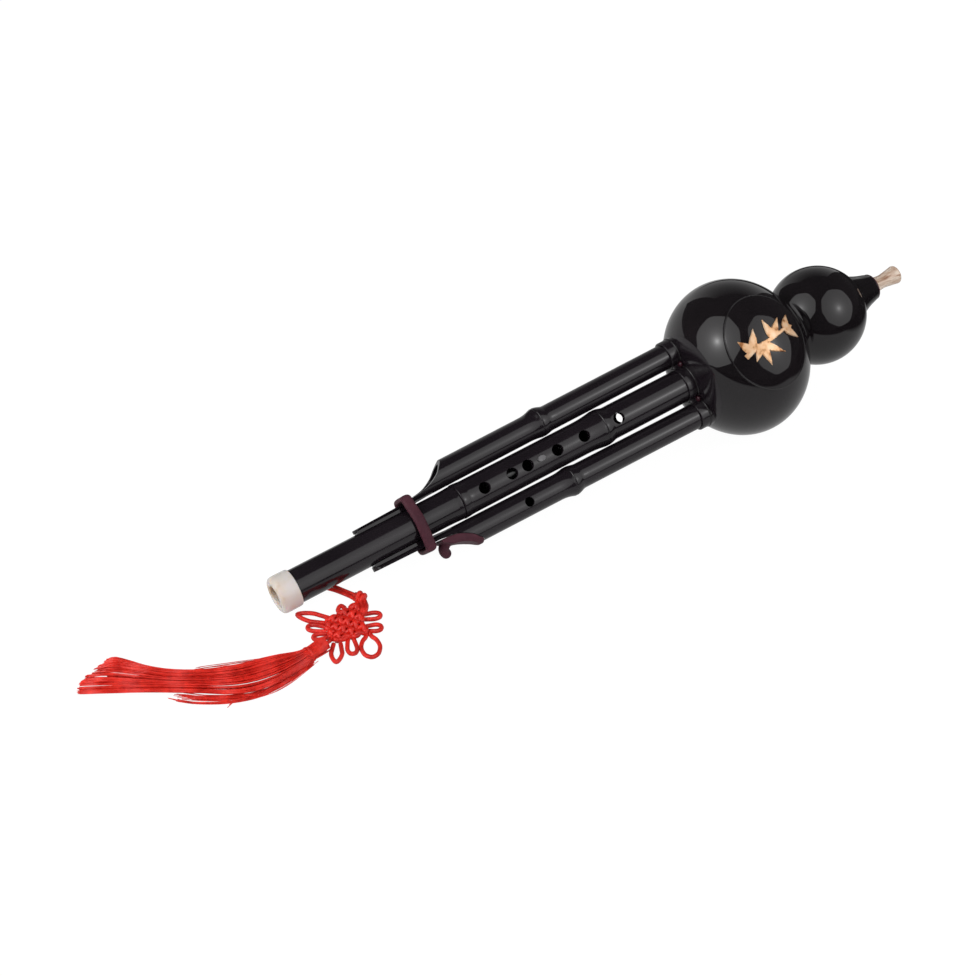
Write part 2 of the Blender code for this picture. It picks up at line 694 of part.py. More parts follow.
def build_cap(name, parent, end, radius, bore):
    """The plug that closes a pipe's inner end."""
    face = end + TOUCH
    outline = [(0.0, face + 0.0020), (radius - 0.0006, face + 0.0020), (radius, face + 0.0014), (radius, face)]
    outline += [(bore - TOUCH, face), (bore - TOUCH, face - 0.0036), (0.0, face - 0.0036)]
    return turned(name, outline, seal_rubber(), parent, steps=24, closed=False)


def opening_line(cut_at, tip_at, tongue):
    """The drone's slanted cut as (x, y) points in the drone's frame, y away from the main pipe."""
    points = [(cut_at - PIPE_REACH - back, share * DRONE_RADIUS) for back, share in OPENING_SHAPE]
    root = cut_at - PIPE_REACH - OPENING_SHAPE[-1][0]
    tip = tip_at - PIPE_REACH
    points.append((root * 0.75 + tip * 0.25, tongue[0] * DRONE_RADIUS))
    points.append((tip, tongue[1] * DRONE_RADIUS))
    smooth = smooth_through([(x, y, 0) for x, y in points], 4)
    return [(p.x, p.y) for p in smooth]


def offset_line(line, distance):
    """The same line, moved away from the drone's axis by distance."""
    moved = []
    for k, (x, y) in enumerate(line):
        x0, y0 = line[max(k - 1, 0)]
        x1, y1 = line[min(k + 1, len(line) - 1)]
        along = Vector((x1 - x0, y1 - y0)).normalized()
        moved.append((x + along.y * distance, y - along.x * distance))
    return moved


def add_tongue_pad(pipe, name, side, flute, tip_at):
    """Fills the tongue's inner side so that it lies against the main pipe and parts from it beyond the ring."""
    start = tip_at + 0.0012
    parting = BAND_AT + BAND_WIDTH / 2
    clear = MAIN_FOOT_RADIUS - 0.0010
    wall = 0.0008 - DRONE_RADIUS
    shape = [(start, clear), (parting, clear), (parting + 0.0001, MAIN_FOOT_RADIUS + TOUCH)]
    shape += [(TONGUE_PAD_END, drone_centre(TONGUE_PAD_END) + wall - 0.0006)]
    shape += [(TONGUE_PAD_END, drone_centre(TONGUE_PAD_END) + wall), (start, drone_centre(start) + wall)]
    shape = [(x, y * side) for x, y in shape]
    join(pipe, prism(name + "_pad", shape, TONGUE_PAD_HALF_WIDTH, None, flute))
    length = 0.060
    middle = (tip_at - 0.004 + length / 2, 0, 0)
    cut(pipe, rod(name + "_relief", MAIN_FOOT_RADIUS + TOUCH, length, None, flute, middle, TURN_TO_AXIS, 48))


def build_drone(name, side, flute, drone, cut_at, tip_at, tongue, joint_at, tail):
    """One drone pipe, side +1 for the silent one and -1 for the sounding one."""
    tip = tip_at - PIPE_REACH
    step = SPIGOT_START
    outline = [(DRONE_SPIGOT_BORE, tail), (DRONE_SPIGOT, tail), (DRONE_SPIGOT, step), (DRONE_RADIUS, step)]
    outline += joint_outline(joint_at - PIPE_REACH, DRONE_RADIUS, DRONE_RADIUS, joint_rise(joint_at, DRONE_JOINT_RISE))
    outline += [(DRONE_RADIUS, tip), (DRONE_BORE, tip), (DRONE_BORE, step - 0.0016)]
    outline += [(DRONE_SPIGOT_BORE, step - 0.0002)]
    pipe = turned(name, outline, black_resin(), drone, steps=32)
    line = opening_line(cut_at, tip_at, tongue)
    high = DRONE_RADIUS * 1.5
    beyond = tip - 0.004
    shape = [(line[0][0], high)] + line + [(beyond, line[-1][1]), (beyond, high)]
    shape = [(x, y * side) for x, y in shape]
    cut(pipe, prism(name + "_opening", shape, DRONE_RADIUS * 1.5, None, drone))
    nose = DRONE_RADIUS * 0.72
    waste = [(tip - 0.003, -high), (tip + nose, -high)]
    waste += [(tip + nose - nose * math.cos(math.radians(a)), nose * math.sin(math.radians(a))) for a in
              (-90, -72, -54, -36, -18, 0, 18, 36, 54, 72, 90)]
    waste += [(tip + nose, high), (tip - 0.003, high)]
    turn = (math.pi / 2, 0, 0)
    cut(pipe, prism(name + "_nose", waste, DRONE_RADIUS * 1.5, None, drone, (0, 0, 0), turn))
    add_tongue_pad(pipe, name, side, flute, tip_at)
    return pipe


def build_sounding_details(pipe, drone):
    reach = DRONE_RADIUS * 1.4
    at = (DRONE_HOLE_AT - PIPE_REACH, 0, reach / 2)
    cut(pipe, rod("drone_hole", DRONE_HOLE_RADIUS, reach, None, drone, at, sides=18))
    length = DRONE_REED_PLATE[0]
    reed_at = SOUNDING_TAIL - 0.0022 - length / 2
    seat_height = DRONE_SPIGOT_BORE + 0.0006
    seat_size = (length + TOUCH * 2, DRONE_SPIGOT * 2.4, 0.0030)
    cut(pipe, block("drone_reed_seat", seat_size, None, drone, (reed_at, 0, seat_height + 0.0015)))
    port_size = (DRONE_REED_SLOT[0] + 0.0004, DRONE_REED_SLOT[1] + 0.0004, 0.0040)
    cut(pipe, block("drone_reed_port", port_size, None, drone, (reed_at, 0, seat_height)))
    height = seat_height + TOUCH
    build_reed("drone_reed", drone, reed_at, height, DRONE_REED_PLATE, DRONE_REED_SLOT, DRONE_REED_TONGUE)
    build_cap("sounding_drone_cap", drone, SOUNDING_TAIL, DRONE_SPIGOT, DRONE_SPIGOT_BORE)


def build_end_ring(flute):
    """A barrel-shaped cap ring on the main pipe's foot."""
    length = RING_LENGTH
    seat = FOOT_SPIGOT_RADIUS + TOUCH
    outline = [
        (seat, length),
        (RING_RADIUS - 0.00035, length),
        (RING_RADIUS - 0.00010, length - 0.0007),
        (RING_RADIUS, length * 0.55),
        (RING_RADIUS, RING_REST),
        (RING_RADIUS - 0.00040, 0.0010),
        (RING_RADIUS - 0.00120, 0.00025),
        (RING_RADIUS - 0.00190, 0.0),
        (RING_BORE + 0.0005, 0.0),
        (RING_BORE, 0.0005),
        (RING_BORE, RING_LIP),
        (seat, RING_LIP),
    ]
    return turned("end_ring", outline, white_resin(), flute, steps=48)


def build_label(flute):
    """A small bare oval plate between the third and fourth finger holes."""
    outline = ellipse(LABEL_LENGTH / 2, LABEL_WIDTH / 2, 20)
    height = MAIN_RADIUS + TOUCH + LABEL_THICKNESS / 2
    return prism("label_plate", outline, LABEL_THICKNESS / 2, silver(), flute, (LABEL_AT, 0, height))


# Mouthpiece


def build_socket(flute):
    """The flared black socket on top of the upper bulb, with a spigot into the gourd."""
    rim = SOCKET_RIM_AT
    spigot = SOCKET_BORE_IN_GOURD - TOUCH
    length = SOCKET_LENGTH
    outline = [
        (SOCKET_BORE, rim),
        (SOCKET_RIM_RADIUS - 0.0020, rim),
        (SOCKET_RIM_RADIUS - 0.0006, rim - 0.0008),
        (SOCKET_RIM_RADIUS, rim - 0.0022),
        (SOCKET_RIM_RADIUS + 0.0006, rim - length * 0.32),
        (SOCKET_RIM_RADIUS + 0.0013, rim - length * 0.52),
        (SOCKET_RIM_RADIUS + 0.0023, rim - length * 0.74),
        (SOCKET_RIM_RADIUS + 0.0034, rim - length * 0.94),
    ]
    # The underside follows the bulb
    under_length = UPPER_HALF_LENGTH + TOUCH
    under_radius = UPPER_RADIUS + TOUCH
    for share in (1.0, 0.8, 0.6):
        radius = spigot + (SOCKET_FLARE - spigot) * (share - 0.6) / 0.4
        outline.append((radius, UPPER_AT + under_length * math.sqrt(1 - (radius / under_radius) ** 2)))
    low = UPPER_TOP - 0.0076
    step = rim - SOCKET_DEPTH
    outline += [(spigot, low), (spigot - 0.0022, low), (spigot - 0.0022, step), (SOCKET_BORE, step)]
    return turned("mouthpiece_socket", outline, black_resin(), flute, steps=40)


def build_tip(flute):
    """The tip that is blown into: a flange on the socket, a neck, and a flared end."""
    base = SOCKET_RIM_AT + TOUCH
    end = base + TIP_LENGTH
    spigot = SOCKET_BORE - TOUCH
    low = SOCKET_RIM_AT - SOCKET_DEPTH + 0.0008
    groove = (low + 0.0025, low + 0.0047)
    root = spigot - 0.0010
    outline = [
        (TIP_BORE, end),
        (TIP_FLARE - 0.0009, end),
        (TIP_FLARE - 0.0002, end - 0.0006),
        (TIP_FLARE, end - 0.0014),
        (TIP_FLARE - 0.0003, end - 0.0028),
        (TIP_NECK + 0.0006, base + TIP_LENGTH * 0.62),
        (TIP_NECK + 0.0001, base + TIP_LENGTH * 0.44),
        (TIP_NECK, base + TIP_LENGTH * 0.34),
        (TIP_NECK + 0.0002, base + TIP_LENGTH * 0.24),
        (TIP_ROOT - 0.0006, base + TIP_LENGTH * 0.10),
        (TIP_ROOT, base + 0.0004),
        (TIP_ROOT, base),
        (spigot, base),
        (spigot, groove[1]),
        (root, groove[1]),
        (root, groove[0]),
        (spigot, groove[0]),
        (spigot, low),
        (TIP_BORE, low),
    ]
    turned("mouthpiece_tip", outline, horn(), flute, steps=28)
    seal = [(spigot, groove[1] - TOUCH), (spigot, groove[0] + TOUCH)]
    seal += [(root + TOUCH, groove[0] + TOUCH), (root + TOUCH, groove[1] - TOUCH)]
    turned("mouthpiece_seal", seal, seal_rubber(), flute, steps=20)


# Rubber ring and stopper


def drone_centre(along):
    """Distance from the main axis to a drone's axis at a place along the flute."""
    return DRONE_SPACING - (PIPE_REACH - along) * math.tan(DRONE_TOE_IN)


def band_outline(offset, steps):
    """A closed line stretched round the main pipe and both tongues, offset outwards, in the yz plane."""
    corners = []
    for tongue in (SILENT_TONGUE, SOUNDING_TONGUE):
        corner_y = drone_centre(BAND_AT) + tongue[0] * DRONE_RADIUS
        corners.append((corner_y, DRONE_RADIUS * math.sqrt(1 - tongue[0] ** 2)))
    points = []
    for k in range(steps):
        angle = 2 * math.pi * (k + 0.5) / steps
        across, up = math.cos(angle), math.sin(angle)
        corner_y, corner_z = corners[0] if across > 0 else corners[1]
        if corner_y * abs(across) + corner_z * abs(up) > MAIN_FOOT_RADIUS:
            y = math.copysign(corner_y, across)
            z = math.copysign(corner_z, up)
        else:
            y = MAIN_FOOT_RADIUS * across
            z = MAIN_FOOT_RADIUS * up
        points.append((y + offset * across, z + offset * up))
    return points


def build_band(flute):
    """The stretched rubber ring, a rounded strip."""
    steps = 40
    half = BAND_WIDTH / 2
    sections = []
    for inset, reach in ((0.0, 0.70), (0.30, 1.0), (1.0, 0.72), (1.0, -0.72), (0.30, -1.0), (0.0, -0.70)):
        ring = []
        for y, z in band_outline(TOUCH + BAND_THICKNESS * inset, steps):
            ring.append((BAND_AT + half * reach, y, z))
        sections.append(ring)
    shape = bmesh.new()
    rings = [[shape.verts.new(place) for place in ring] for ring in sections]
    for k, ring in enumerate(rings):
        following = rings[(k + 1) % len(rings)]
        for i in range(steps):
            j = (i + 1) % steps
            shape.faces.new((ring[i], ring[j], following[j], following[i]))
    bmesh.ops.recalc_face_normals(shape, faces=shape.faces)
    mesh = bpy.data.meshes.new("rubber_ring")
    shape.to_mesh(mesh)
    shape.free()
    return finish_object("rubber_ring", mesh, wine_rubber(), flute)


def floor_height(along, across, up):
    """Height over the floor of a point in the flute's frame."""
    lift = across * math.sin(ROLL) + up * math.cos(ROLL)
    return FOOT_HEIGHT + along * math.sin(SLOPE) + lift * math.cos(SLOPE)


def tail_tip():
    """The end of the stopper's tail, low enough for it to rest on the floor."""
    along = SOUNDING_CUT - TAIL_END[0]
    across = -drone_centre(along) - TAIL_END[1]
    up = (TAIL_REST - floor_height(along, across, 0.0)) / (math.cos(ROLL) * math.cos(SLOPE))
    return Vector((along, across, up))


def build_stopper(flute, drone):
    """A rubber lid shaped like the drone's opening, with a plug into the bore and a finger tail."""
    line = opening_line(SOUNDING_CUT, SOUNDING_TIP, SOUNDING_TONGUE)
    end = SOUNDING_CUT - PIPE_REACH - STOPPER_LENGTH
    line = [point for point in line if point[0] > end]
    inner = offset_line(line, TOUCH)[4:]
    outer = offset_line(line, TOUCH + STOPPER_THICKNESS)[4:]
    shape = [(x, -y) for x, y in inner + outer[::-1]]
    lid_length = STOPPER_LENGTH * 1.6
    lid_at = (SOUNDING_CUT - PIPE_REACH - STOPPER_LENGTH / 2, 0, 0)
    lid = rod("drone_stopper", DRONE_RADIUS + TOUCH, lid_length, wine_rubber(), drone, lid_at, TURN_TO_AXIS, 28)
    keep_inside(lid, prism("stopper_lid", shape, DRONE_RADIUS * 1.5, None, drone))
    plug_from = line[0][0] - STOPPER_PLUG_FROM
    plug_to = line[0][0] - STOPPER_PLUG_TO
    plug_line = [p for p in offset_line(line, -STOPPER_PLUG_DEPTH) if plug_to < p[0] < plug_from]
    cover = [p for p in offset_line(line, TOUCH * 2) if plug_to < p[0] < plug_from]
    shape = [(x, -y) for x, y in plug_line + cover[::-1]]
    plug = rod("stopper_plug", DRONE_BORE - TOUCH, lid_length, None, drone, lid_at, TURN_TO_AXIS, 24)
    keep_inside(plug, prism("stopper_plug_trim", shape, DRONE_RADIUS * 1.5, None, drone))
    join(lid, plug)
    tip = tail_tip()
    route = []
    for back, out, down in TAIL_ROUTE:
        along = SOUNDING_CUT - back
        route.append((along, -drone_centre(along) - out, tip.z * down))
    path = smooth_through(route + [tip], 3)
    join(lid, tube("stopper_tail", path, TAIL_RADIUS, None, flute, 2))
    return lid


# Cord, knot and tassel

# Routes and places on the floor, in metres from the point under the foot ring's face, chosen by hand
STRAND_LEFT = (
    (0.0247, 0.0049, 0.0074),
    (0.0250, 0.0058, 0.0055),
    (0.0255, 0.0052, 0.0033),
    (0.0265, 0.0034, 0.0016),
    (0.0281, 0.0010, 0.0013),
    (0.0299, -0.0011, 0.0013),
    (0.0320, -0.0036, 0.0013),
    (0.0340, -0.0076, 0.0013),
    (0.0359, -0.0112, 0.0014),
    (0.0366, -0.0132, 0.0016),
)
STRAND_RIGHT = (
    (0.0297, 0.0049, 0.0080),
    (0.0300, 0.0059, 0.0060),
    (0.0303, 0.0054, 0.0037),
    (0.0309, 0.0038, 0.0018),
    (0.0318, 0.0016, 0.0013),
    (0.0327, -0.0003, 0.0013),
    (0.0340, -0.0026, 0.0013),
    (0.0359, -0.0066, 0.0013),
    (0.0378, -0.0102, 0.0014),
    (0.0389, -0.0130, 0.0019),
)
BUTTON_CENTRE = (0.0392, -0.0162, 0.0030)
BUTTON_TURN = 110.0  # degrees from +X to the way its length lies
KNOT_CENTRE = (0.0228, -0.0313)
KNOT_TURN = -2.0  # degrees from +X to the way its rows lie
KNOT_LEAN = 14.0  # degrees that its columns lean from square to the rows
KNOT_FAN = 19.0  # how fast its rows fan out from its middle, per metre
# Ears of the knot: where each leaves the body, its tip, its width, and its outline
EARS = (
    (0.0262, -0.0222, 0.0284, -0.0166, 0.0038, LEAF),
    (0.0171, -0.0218, 0.0068, -0.0102, 0.0058, LEAF),
    (0.0135, -0.0272, 0.0068, -0.0211, 0.0044, LOOP),
    (0.0126, -0.0318, 0.0056, -0.0292, 0.0038, LOOP),
    (0.0334, -0.0296, 0.0420, -0.0332, 0.0046, LOOP),
    (0.0310, -0.0378, 0.0380, -0.0412, 0.0046, LOOP),
    (0.0294, -0.0432, 0.0237, -0.0568, 0.0094, RING),
    (0.0200, -0.0412, 0.0166, -0.0495, 0.0042, LOOP),
    (0.0125, -0.0400, 0.0070, -0.0500, 0.0046, LEAF),
)
CAP_FROM = (0.0074, -0.0382)
CAP_TO = (-0.0044, -0.0405)
# Cross-sections of the skirt: its far edge, its near edge, and its thickness
SKIRT = (
    (-0.0057, -0.0367, -0.0042, -0.0445, 0.0078),
    (-0.0112, -0.0340, -0.0170, -0.0480, 0.0080),
    (-0.0212, -0.0306, -0.0292, -0.0490, 0.0076),
    (-0.0325, -0.0279, -0.0395, -0.0466, 0.0068),
    (-0.0430, -0.0241, -0.0490, -0.0413, 0.0062),
    (-0.0533, -0.0194, -0.0585, -0.0340, 0.0058),
    (-0.0628, -0.0128, -0.0680, -0.0275, 0.0054),
    (-0.0712, -0.0050, -0.0775, -0.0210, 0.0050),
    (-0.0775, 0.0045, -0.0880, -0.0145, 0.0044),
    (-0.0828, 0.0116, -0.0985, -0.0080, 0.0038),
    (-0.0860, 0.0132, -0.1058, -0.0030, 0.0028),
)


def build_strands(ground):
    """The two ends of the cord, from the pipe's back to the button."""
    for name, route in (("cord_strand_left", STRAND_LEFT), ("cord_strand_right", STRAND_RIGHT)):
        path = smooth_through(route, 2)
        thing = bpy.data.objects.new(name, tube_curve(name, path, CORD_RADIUS, 2))
        thing.data.materials.append(red_cord())
        PARTS.objects.link(thing)
        thing.parent = ground


def build_button(ground):
    """The button knot, two turns of cord round the strands."""
    half = BUTTON_LENGTH / 2
    outline = [(0.0, half)]
    for turn in range(2):
        top = half - BUTTON_LENGTH * turn / 2
        outline.append((BUTTON_RADIUS - 0.0006, top))
        outline.append((BUTTON_RADIUS, top - BUTTON_LENGTH / 4))
    outline += [(BUTTON_RADIUS - 0.0006, -half), (0.0, -half)]
    at = empty("button_axis", ground, BUTTON_CENTRE, (0, 0, math.radians(BUTTON_TURN)))
    turned("button_knot", outline, red_cord(), at, steps=16, closed=False)


def ear_route(root_x, root_y, tip_x, tip_y, width, form):
    root = Vector((root_x, root_y, 0.0))
    reach = Vector((tip_x, tip_y, 0.0)) - root
    across = Vector((-reach.y, reach.x, 0.0)).normalized() * width / 2
    level = Vector((0, 0, EAR_HEIGHT))
    stops = [(along, -side) for along, side in form] + [(1.0, 0.0)] + list(reversed(form))
    return [root + reach * along + across * side + level for along, side in stops]


def build_knot(ground):
    """The endless knot as one flat woven square with its ears."""
    half = KNOT_SIDE / 2
    soft = KNOT_SIDE * 0.12
    lean = math.radians(KNOT_LEAN)
    outline = []
    for count, (x, y) in enumerate(((1, 1), (-1, 1), (-1, -1), (1, -1))):
        corner = (x * (half - soft), y * (half - soft))
        outline += arc(corner, soft, 90 * count, 90 * count + 90, 3)
    outline = [(x, y * (1 + KNOT_FAN * x)) for x, y in outline]
    outline = [(x + y * math.sin(lean), y * math.cos(lean)) for x, y in outline]
    turn = (0, 0, math.radians(KNOT_TURN))
    at = (*KNOT_CENTRE, KNOT_HEIGHT)
    knot = prism("endless_knot", outline, KNOT_THICKNESS / 2, red_cord(), ground, at, turn)
    for count, ear in enumerate(EARS):
        path = smooth_through(ear_route(*ear), 2)
        join(knot, tube("knot_ear_%d" % (count + 1), path, EAR_RADIUS, None, ground, 1))
    return knot


def build_tassel(ground):
    """The bound cap, and the skirt of threads as one soft flattened form."""
    start = Vector((*CAP_FROM, CAP_RADIUS + TOUCH))
    end = Vector((*CAP_TO, CAP_RADIUS + TOUCH))
    length = (end - start).length
    turn = math.atan2(end.y - start.y, end.x - start.x)
    at = empty("tassel_cap_axis", ground, start, (0, 0, turn))
    outline = [
        (0.0, length),
        (CAP_RADIUS - 0.0002, length),
        (CAP_RADIUS, length * 0.92),
        (CAP_RADIUS - 0.0003, length * 0.84),
        (CAP_RADIUS - 0.0002, length * 0.60),
        (CAP_RADIUS - 0.0001, length * 0.30),
        (CAP_RADIUS - 0.0005, length * 0.08),
        (CAP_RADIUS - 0.0014, 0.0),
        (0.0, 0.0),
    ]
    turned("tassel_cap", outline, red_cord(), at, steps=20, closed=False)
    shape = bmesh.new()
    rings = []
    sides = 14
    for far_x, far_y, near_x, near_y, thickness in SKIRT:
        far = Vector((far_x, far_y, 0))
        near = Vector((near_x, near_y, 0))
        middle = (far + near) / 2 + Vector((0, 0, TOUCH + thickness / 2))
        ring = []
        for k in range(sides):
            angle = 2 * math.pi * (k + 0.5) / sides
            lift = Vector((0, 0, thickness / 2 * math.sin(angle)))
            ring.append(shape.verts.new(middle + (far - near) / 2 * math.cos(angle) + lift))
        rings.append(ring)
    for first, second in zip(rings, rings[1:]):
        for i in range(sides):
            j = (i + 1) % sides
            shape.faces.new((first[i], first[j], second[j], second[i]))
    shape.faces.new(rings[0])
    shape.faces.new(rings[-1])
    bmesh.ops.recalc_face_normals(shape, faces=shape.faces)
    mesh = bpy.data.meshes.new("tassel_skirt")
    shape.to_mesh(mesh)
    shape.free()
    finish_object("tassel_skirt", mesh, red_cord(), ground)


def centre_on_floor(rest):
    """Moves everything so that the origin is under the middle of the flute, at its lowest point."""
    bpy.context.view_layer.update()
    graph = bpy.context.evaluated_depsgraph_get()
    low = Vector((1, 1, 1))
    high = Vector((-1, -1, -1))
    for thing in PARTS.objects:
        if thing.type != "MESH" or thing.name in CORD_PIECES:
            continue
        evaluated = thing.evaluated_get(graph)
        mesh = evaluated.to_mesh()
        for vertex in mesh.vertices:
            place = evaluated.matrix_world @ vertex.co
            low = Vector(min(a, b) for a, b in zip(low, place))
            high = Vector(max(a, b) for a, b in zip(high, place))
        evaluated.to_mesh_clear()
    rest.location = (-(low.x + high.x) / 2, -(low.y + high.y) / 2, -low.z)


def main():
    global PARTS, CUTTERS
    clear_scene()
    PARTS = collection("hulusi")
    CUTTERS = collection("cutters")
    rest = empty("rest_frame")
    flute = empty("flute_axis", rest, (0, 0, FOOT_HEIGHT), (ROLL, -SLOPE, 0))
    silent = empty("silent_drone_axis", flute, (PIPE_REACH, DRONE_SPACING, 0), (0, 0, DRONE_TOE_IN))
    sounding = empty("sounding_drone_axis", flute, (PIPE_REACH, -DRONE_SPACING, 0), (0, 0, -DRONE_TOE_IN))
    build_lower_bulb(flute)
    build_upper_bulb(flute)
    build_medallion(flute)
    build_ornament(flute)
    build_base(flute, ((1, silent), (-1, sounding)))
    build_main_pipe(flute)
    build_end_ring(flute)
    build_label(flute)
    places = (SILENT_CUT, SILENT_TIP, SILENT_TONGUE, SILENT_JOINT, SILENT_TAIL)
    build_drone("silent_drone_pipe", 1, flute, silent, *places)
    places = (SOUNDING_CUT, SOUNDING_TIP, SOUNDING_TONGUE, SOUNDING_JOINT, SOUNDING_TAIL)
    pipe = build_drone("sounding_drone_pipe", -1, flute, sounding, *places)
    build_sounding_details(pipe, sounding)
    build_cap("silent_drone_plug", silent, SILENT_TAIL, DRONE_SPIGOT, DRONE_SPIGOT_BORE)
    pipe_seal("main_pipe_seal", MAIN_RADIUS, MAIN_SEAL_THICKNESS, flute, PLUG_END + TOUCH)
    pipe_seal("silent_drone_seal", DRONE_SPIGOT, DRONE_SEAL_THICKNESS, silent, PLUG_END - PIPE_REACH + TOUCH * 2)
    pipe_seal("sounding_drone_seal", DRONE_SPIGOT, DRONE_SEAL_THICKNESS, sounding, PLUG_END - PIPE_REACH + TOUCH * 2)
    build_socket(flute)
    build_tip(flute)
    build_band(flute)
    build_stopper(flute, sounding)
    build_strands(rest)
    build_button(rest)
    build_knot(rest)
    build_tassel(rest)
    centre_on_floor(rest)


main()
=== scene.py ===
"""A gourd flute in black resin with its red knotted tassel, dressed over its CAD model."""
import json
import math
import random

import bmesh
import bpy
from mathutils import Euler, Matrix, Vector


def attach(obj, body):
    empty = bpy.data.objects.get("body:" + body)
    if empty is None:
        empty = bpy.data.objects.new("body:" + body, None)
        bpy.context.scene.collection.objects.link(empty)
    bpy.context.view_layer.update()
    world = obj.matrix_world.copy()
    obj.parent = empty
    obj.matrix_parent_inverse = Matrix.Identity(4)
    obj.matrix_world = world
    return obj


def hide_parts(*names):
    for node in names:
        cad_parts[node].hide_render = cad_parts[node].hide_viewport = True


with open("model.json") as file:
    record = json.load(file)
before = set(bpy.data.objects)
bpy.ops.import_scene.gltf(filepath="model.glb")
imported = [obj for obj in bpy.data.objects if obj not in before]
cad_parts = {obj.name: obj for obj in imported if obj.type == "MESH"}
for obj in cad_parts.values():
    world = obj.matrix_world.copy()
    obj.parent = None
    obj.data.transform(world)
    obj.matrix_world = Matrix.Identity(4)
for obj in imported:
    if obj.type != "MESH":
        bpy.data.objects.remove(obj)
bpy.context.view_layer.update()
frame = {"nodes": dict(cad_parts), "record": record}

scene = bpy.context.scene
scene.view_settings.view_transform = "Standard"
nodes = frame["nodes"]

# Sizes of the flute, in metres, as its CAD model has them
TOUCH = 0.0003
SLIDING = 0.00015
PIPE_REACH = 0.2543
MAIN_RADIUS = 0.0094
MAIN_BORE = 0.0064
MAIN_FOOT_RADIUS = 0.0091
MAIN_FOOT_JOINT = 0.1092
MAIN_HEAD_JOINT = 0.2007
MAIN_JOINT_RISE = 0.00105
MAIN_END = 0.2985
DRONE_RADIUS = 0.00713
DRONE_BORE = 0.0052
DRONE_GAP = 0.001775
DRONE_SPACING = MAIN_RADIUS + DRONE_RADIUS + DRONE_GAP
DRONE_JOINT_RISE = 0.00145
DRONE_TOE_IN = 0.0075
DRONE_SPIGOT = 0.0046
DRONE_SPIGOT_BORE = 0.0031
SPIGOT_START = 0.0076
OPENING_SHAPE = ((-0.0010, 1.35), (0.0, 0.98), (0.0035, 0.48), (0.0068, 0.07), (0.0128, -0.35), (0.0188, -0.52))
FINGER_HOLE_RADIUS = 0.0032
FINGER_HOLES_AT = (0.1235, 0.1408, 0.1507, 0.1697, 0.1870, 0.2097)
THUMB_HOLE_AT = 0.2183
CORD_HOLE_RADIUS = 0.0018
CORD_HOLES_AT = (0.0245, 0.0295)
DRONE_HOLE_RADIUS = 0.00265
DRONE_HOLE_AT = 0.1430
LABEL_AT = 0.1593
RING_LENGTH = 0.0111
RING_RADIUS = 0.0102
RING_BORE = 0.0061
RING_LIP = 0.0045
FOOT_SPIGOT_RADIUS = 0.0079
COLLAR_LENGTH = 0.0090
COLLAR_WALL = 0.0010
BASE_PLUG_RADIUS = 0.0246
BASE_RADIUS = 0.0269
BASE_PLUG_LENGTH = 0.0085
DOME_DEPTH = 0.0035
DOME_FLATNESS = 4.4
WEB_HALF_HEIGHT = 0.0046
LOWER_RADIUS = 0.0445
LOWER_HALF_LENGTH = 0.0384
UPPER_RADIUS = 0.0281
UPPER_HALF_LENGTH = 0.0280
BULB_SPACING = 0.0576
WAIST_SOFTNESS = 6
GOURD_WALL = 0.0034
NECK_BORE = 0.0120
NECK_SPIGOT_LENGTH = 0.0063
NECK_SPIGOT_WALL = 0.0022
SOCKET_BORE_IN_GOURD = 0.0056
SOCKET_FLARE = 0.0127
SOCKET_LENGTH = 0.0131
SOCKET_RIM_RADIUS = 0.0080
SOCKET_BORE = 0.00425
SOCKET_DEPTH = 0.0093
TIP_LENGTH = 0.0176
TIP_FLARE = 0.0054
TIP_NECK = 0.0039
TIP_ROOT = 0.0050
TIP_BORE = 0.0016
MEDALLION_HALF_LENGTH = 0.0231
MEDALLION_HALF_WIDTH = 0.0268
MEDALLION_THICKNESS = 0.0008
ORNAMENT_THICKNESS = 0.0008
ORNAMENT_STEM_LENGTH = 0.0290
ORNAMENT_SHIFT = -0.0022
ORNAMENT_STEM_WIDTH = 0.0026
ORNAMENT_LEAF_WIDTH = 0.0046
STOPPER_THICKNESS = 0.0048
STOPPER_LENGTH = 0.0238
STOPPER_TAIL_RADIUS = 0.0029
# The stopper's tail: distance back from the cut, out from the drone's axis, and up, in the flute's frame
STOPPER_TAIL = ((0.0192, -0.0012, 0.0), (0.0212, 0.0006, -0.0018), (0.0215, 0.0024, -0.0037), (0.0207, 0.0040, -0.0051))
BAND_AT = 0.0832
BAND_WIDTH = 0.0060
BAND_THICKNESS = 0.0033
CORD_RADIUS = 0.0010

RIM_AT = PIPE_REACH + COLLAR_LENGTH
LOWER_AT = RIM_AT + LOWER_HALF_LENGTH * math.sqrt(1 - (BASE_RADIUS / LOWER_RADIUS) ** 2)
UPPER_AT = LOWER_AT + BULB_SPACING
WAIST_AT = LOWER_AT + 0.0353
UPPER_TOP = UPPER_AT + UPPER_HALF_LENGTH
SOCKET_RIM_AT = UPPER_TOP + SOCKET_LENGTH
PLUG_END = RIM_AT + BASE_PLUG_LENGTH
OPENING_RADIUS = BASE_PLUG_RADIUS + TOUCH

# Where the flute lies: its axis rises from the foot ring to the mouthpiece, and the finger holes face the viewer
ROLL = math.radians(43.08)
SLOPE = 0.11799
UNDER_FOOT = Vector((-0.203595, 0.000105, 0.0))
FOOT = UNDER_FOOT + Vector((0, 0, 0.00983))
FLUTE = Matrix.Translation(FOOT) @ Euler((ROLL, -SLOPE, 0)).to_matrix().to_4x4()
SILENT = FLUTE @ Matrix.Translation((PIPE_REACH, DRONE_SPACING, 0)) @ Matrix.Rotation(DRONE_TOE_IN, 4, "Z")
SOUNDING = FLUTE @ Matrix.Translation((PIPE_REACH, -DRONE_SPACING, 0)) @ Matrix.Rotation(-DRONE_TOE_IN, 4, "Z")

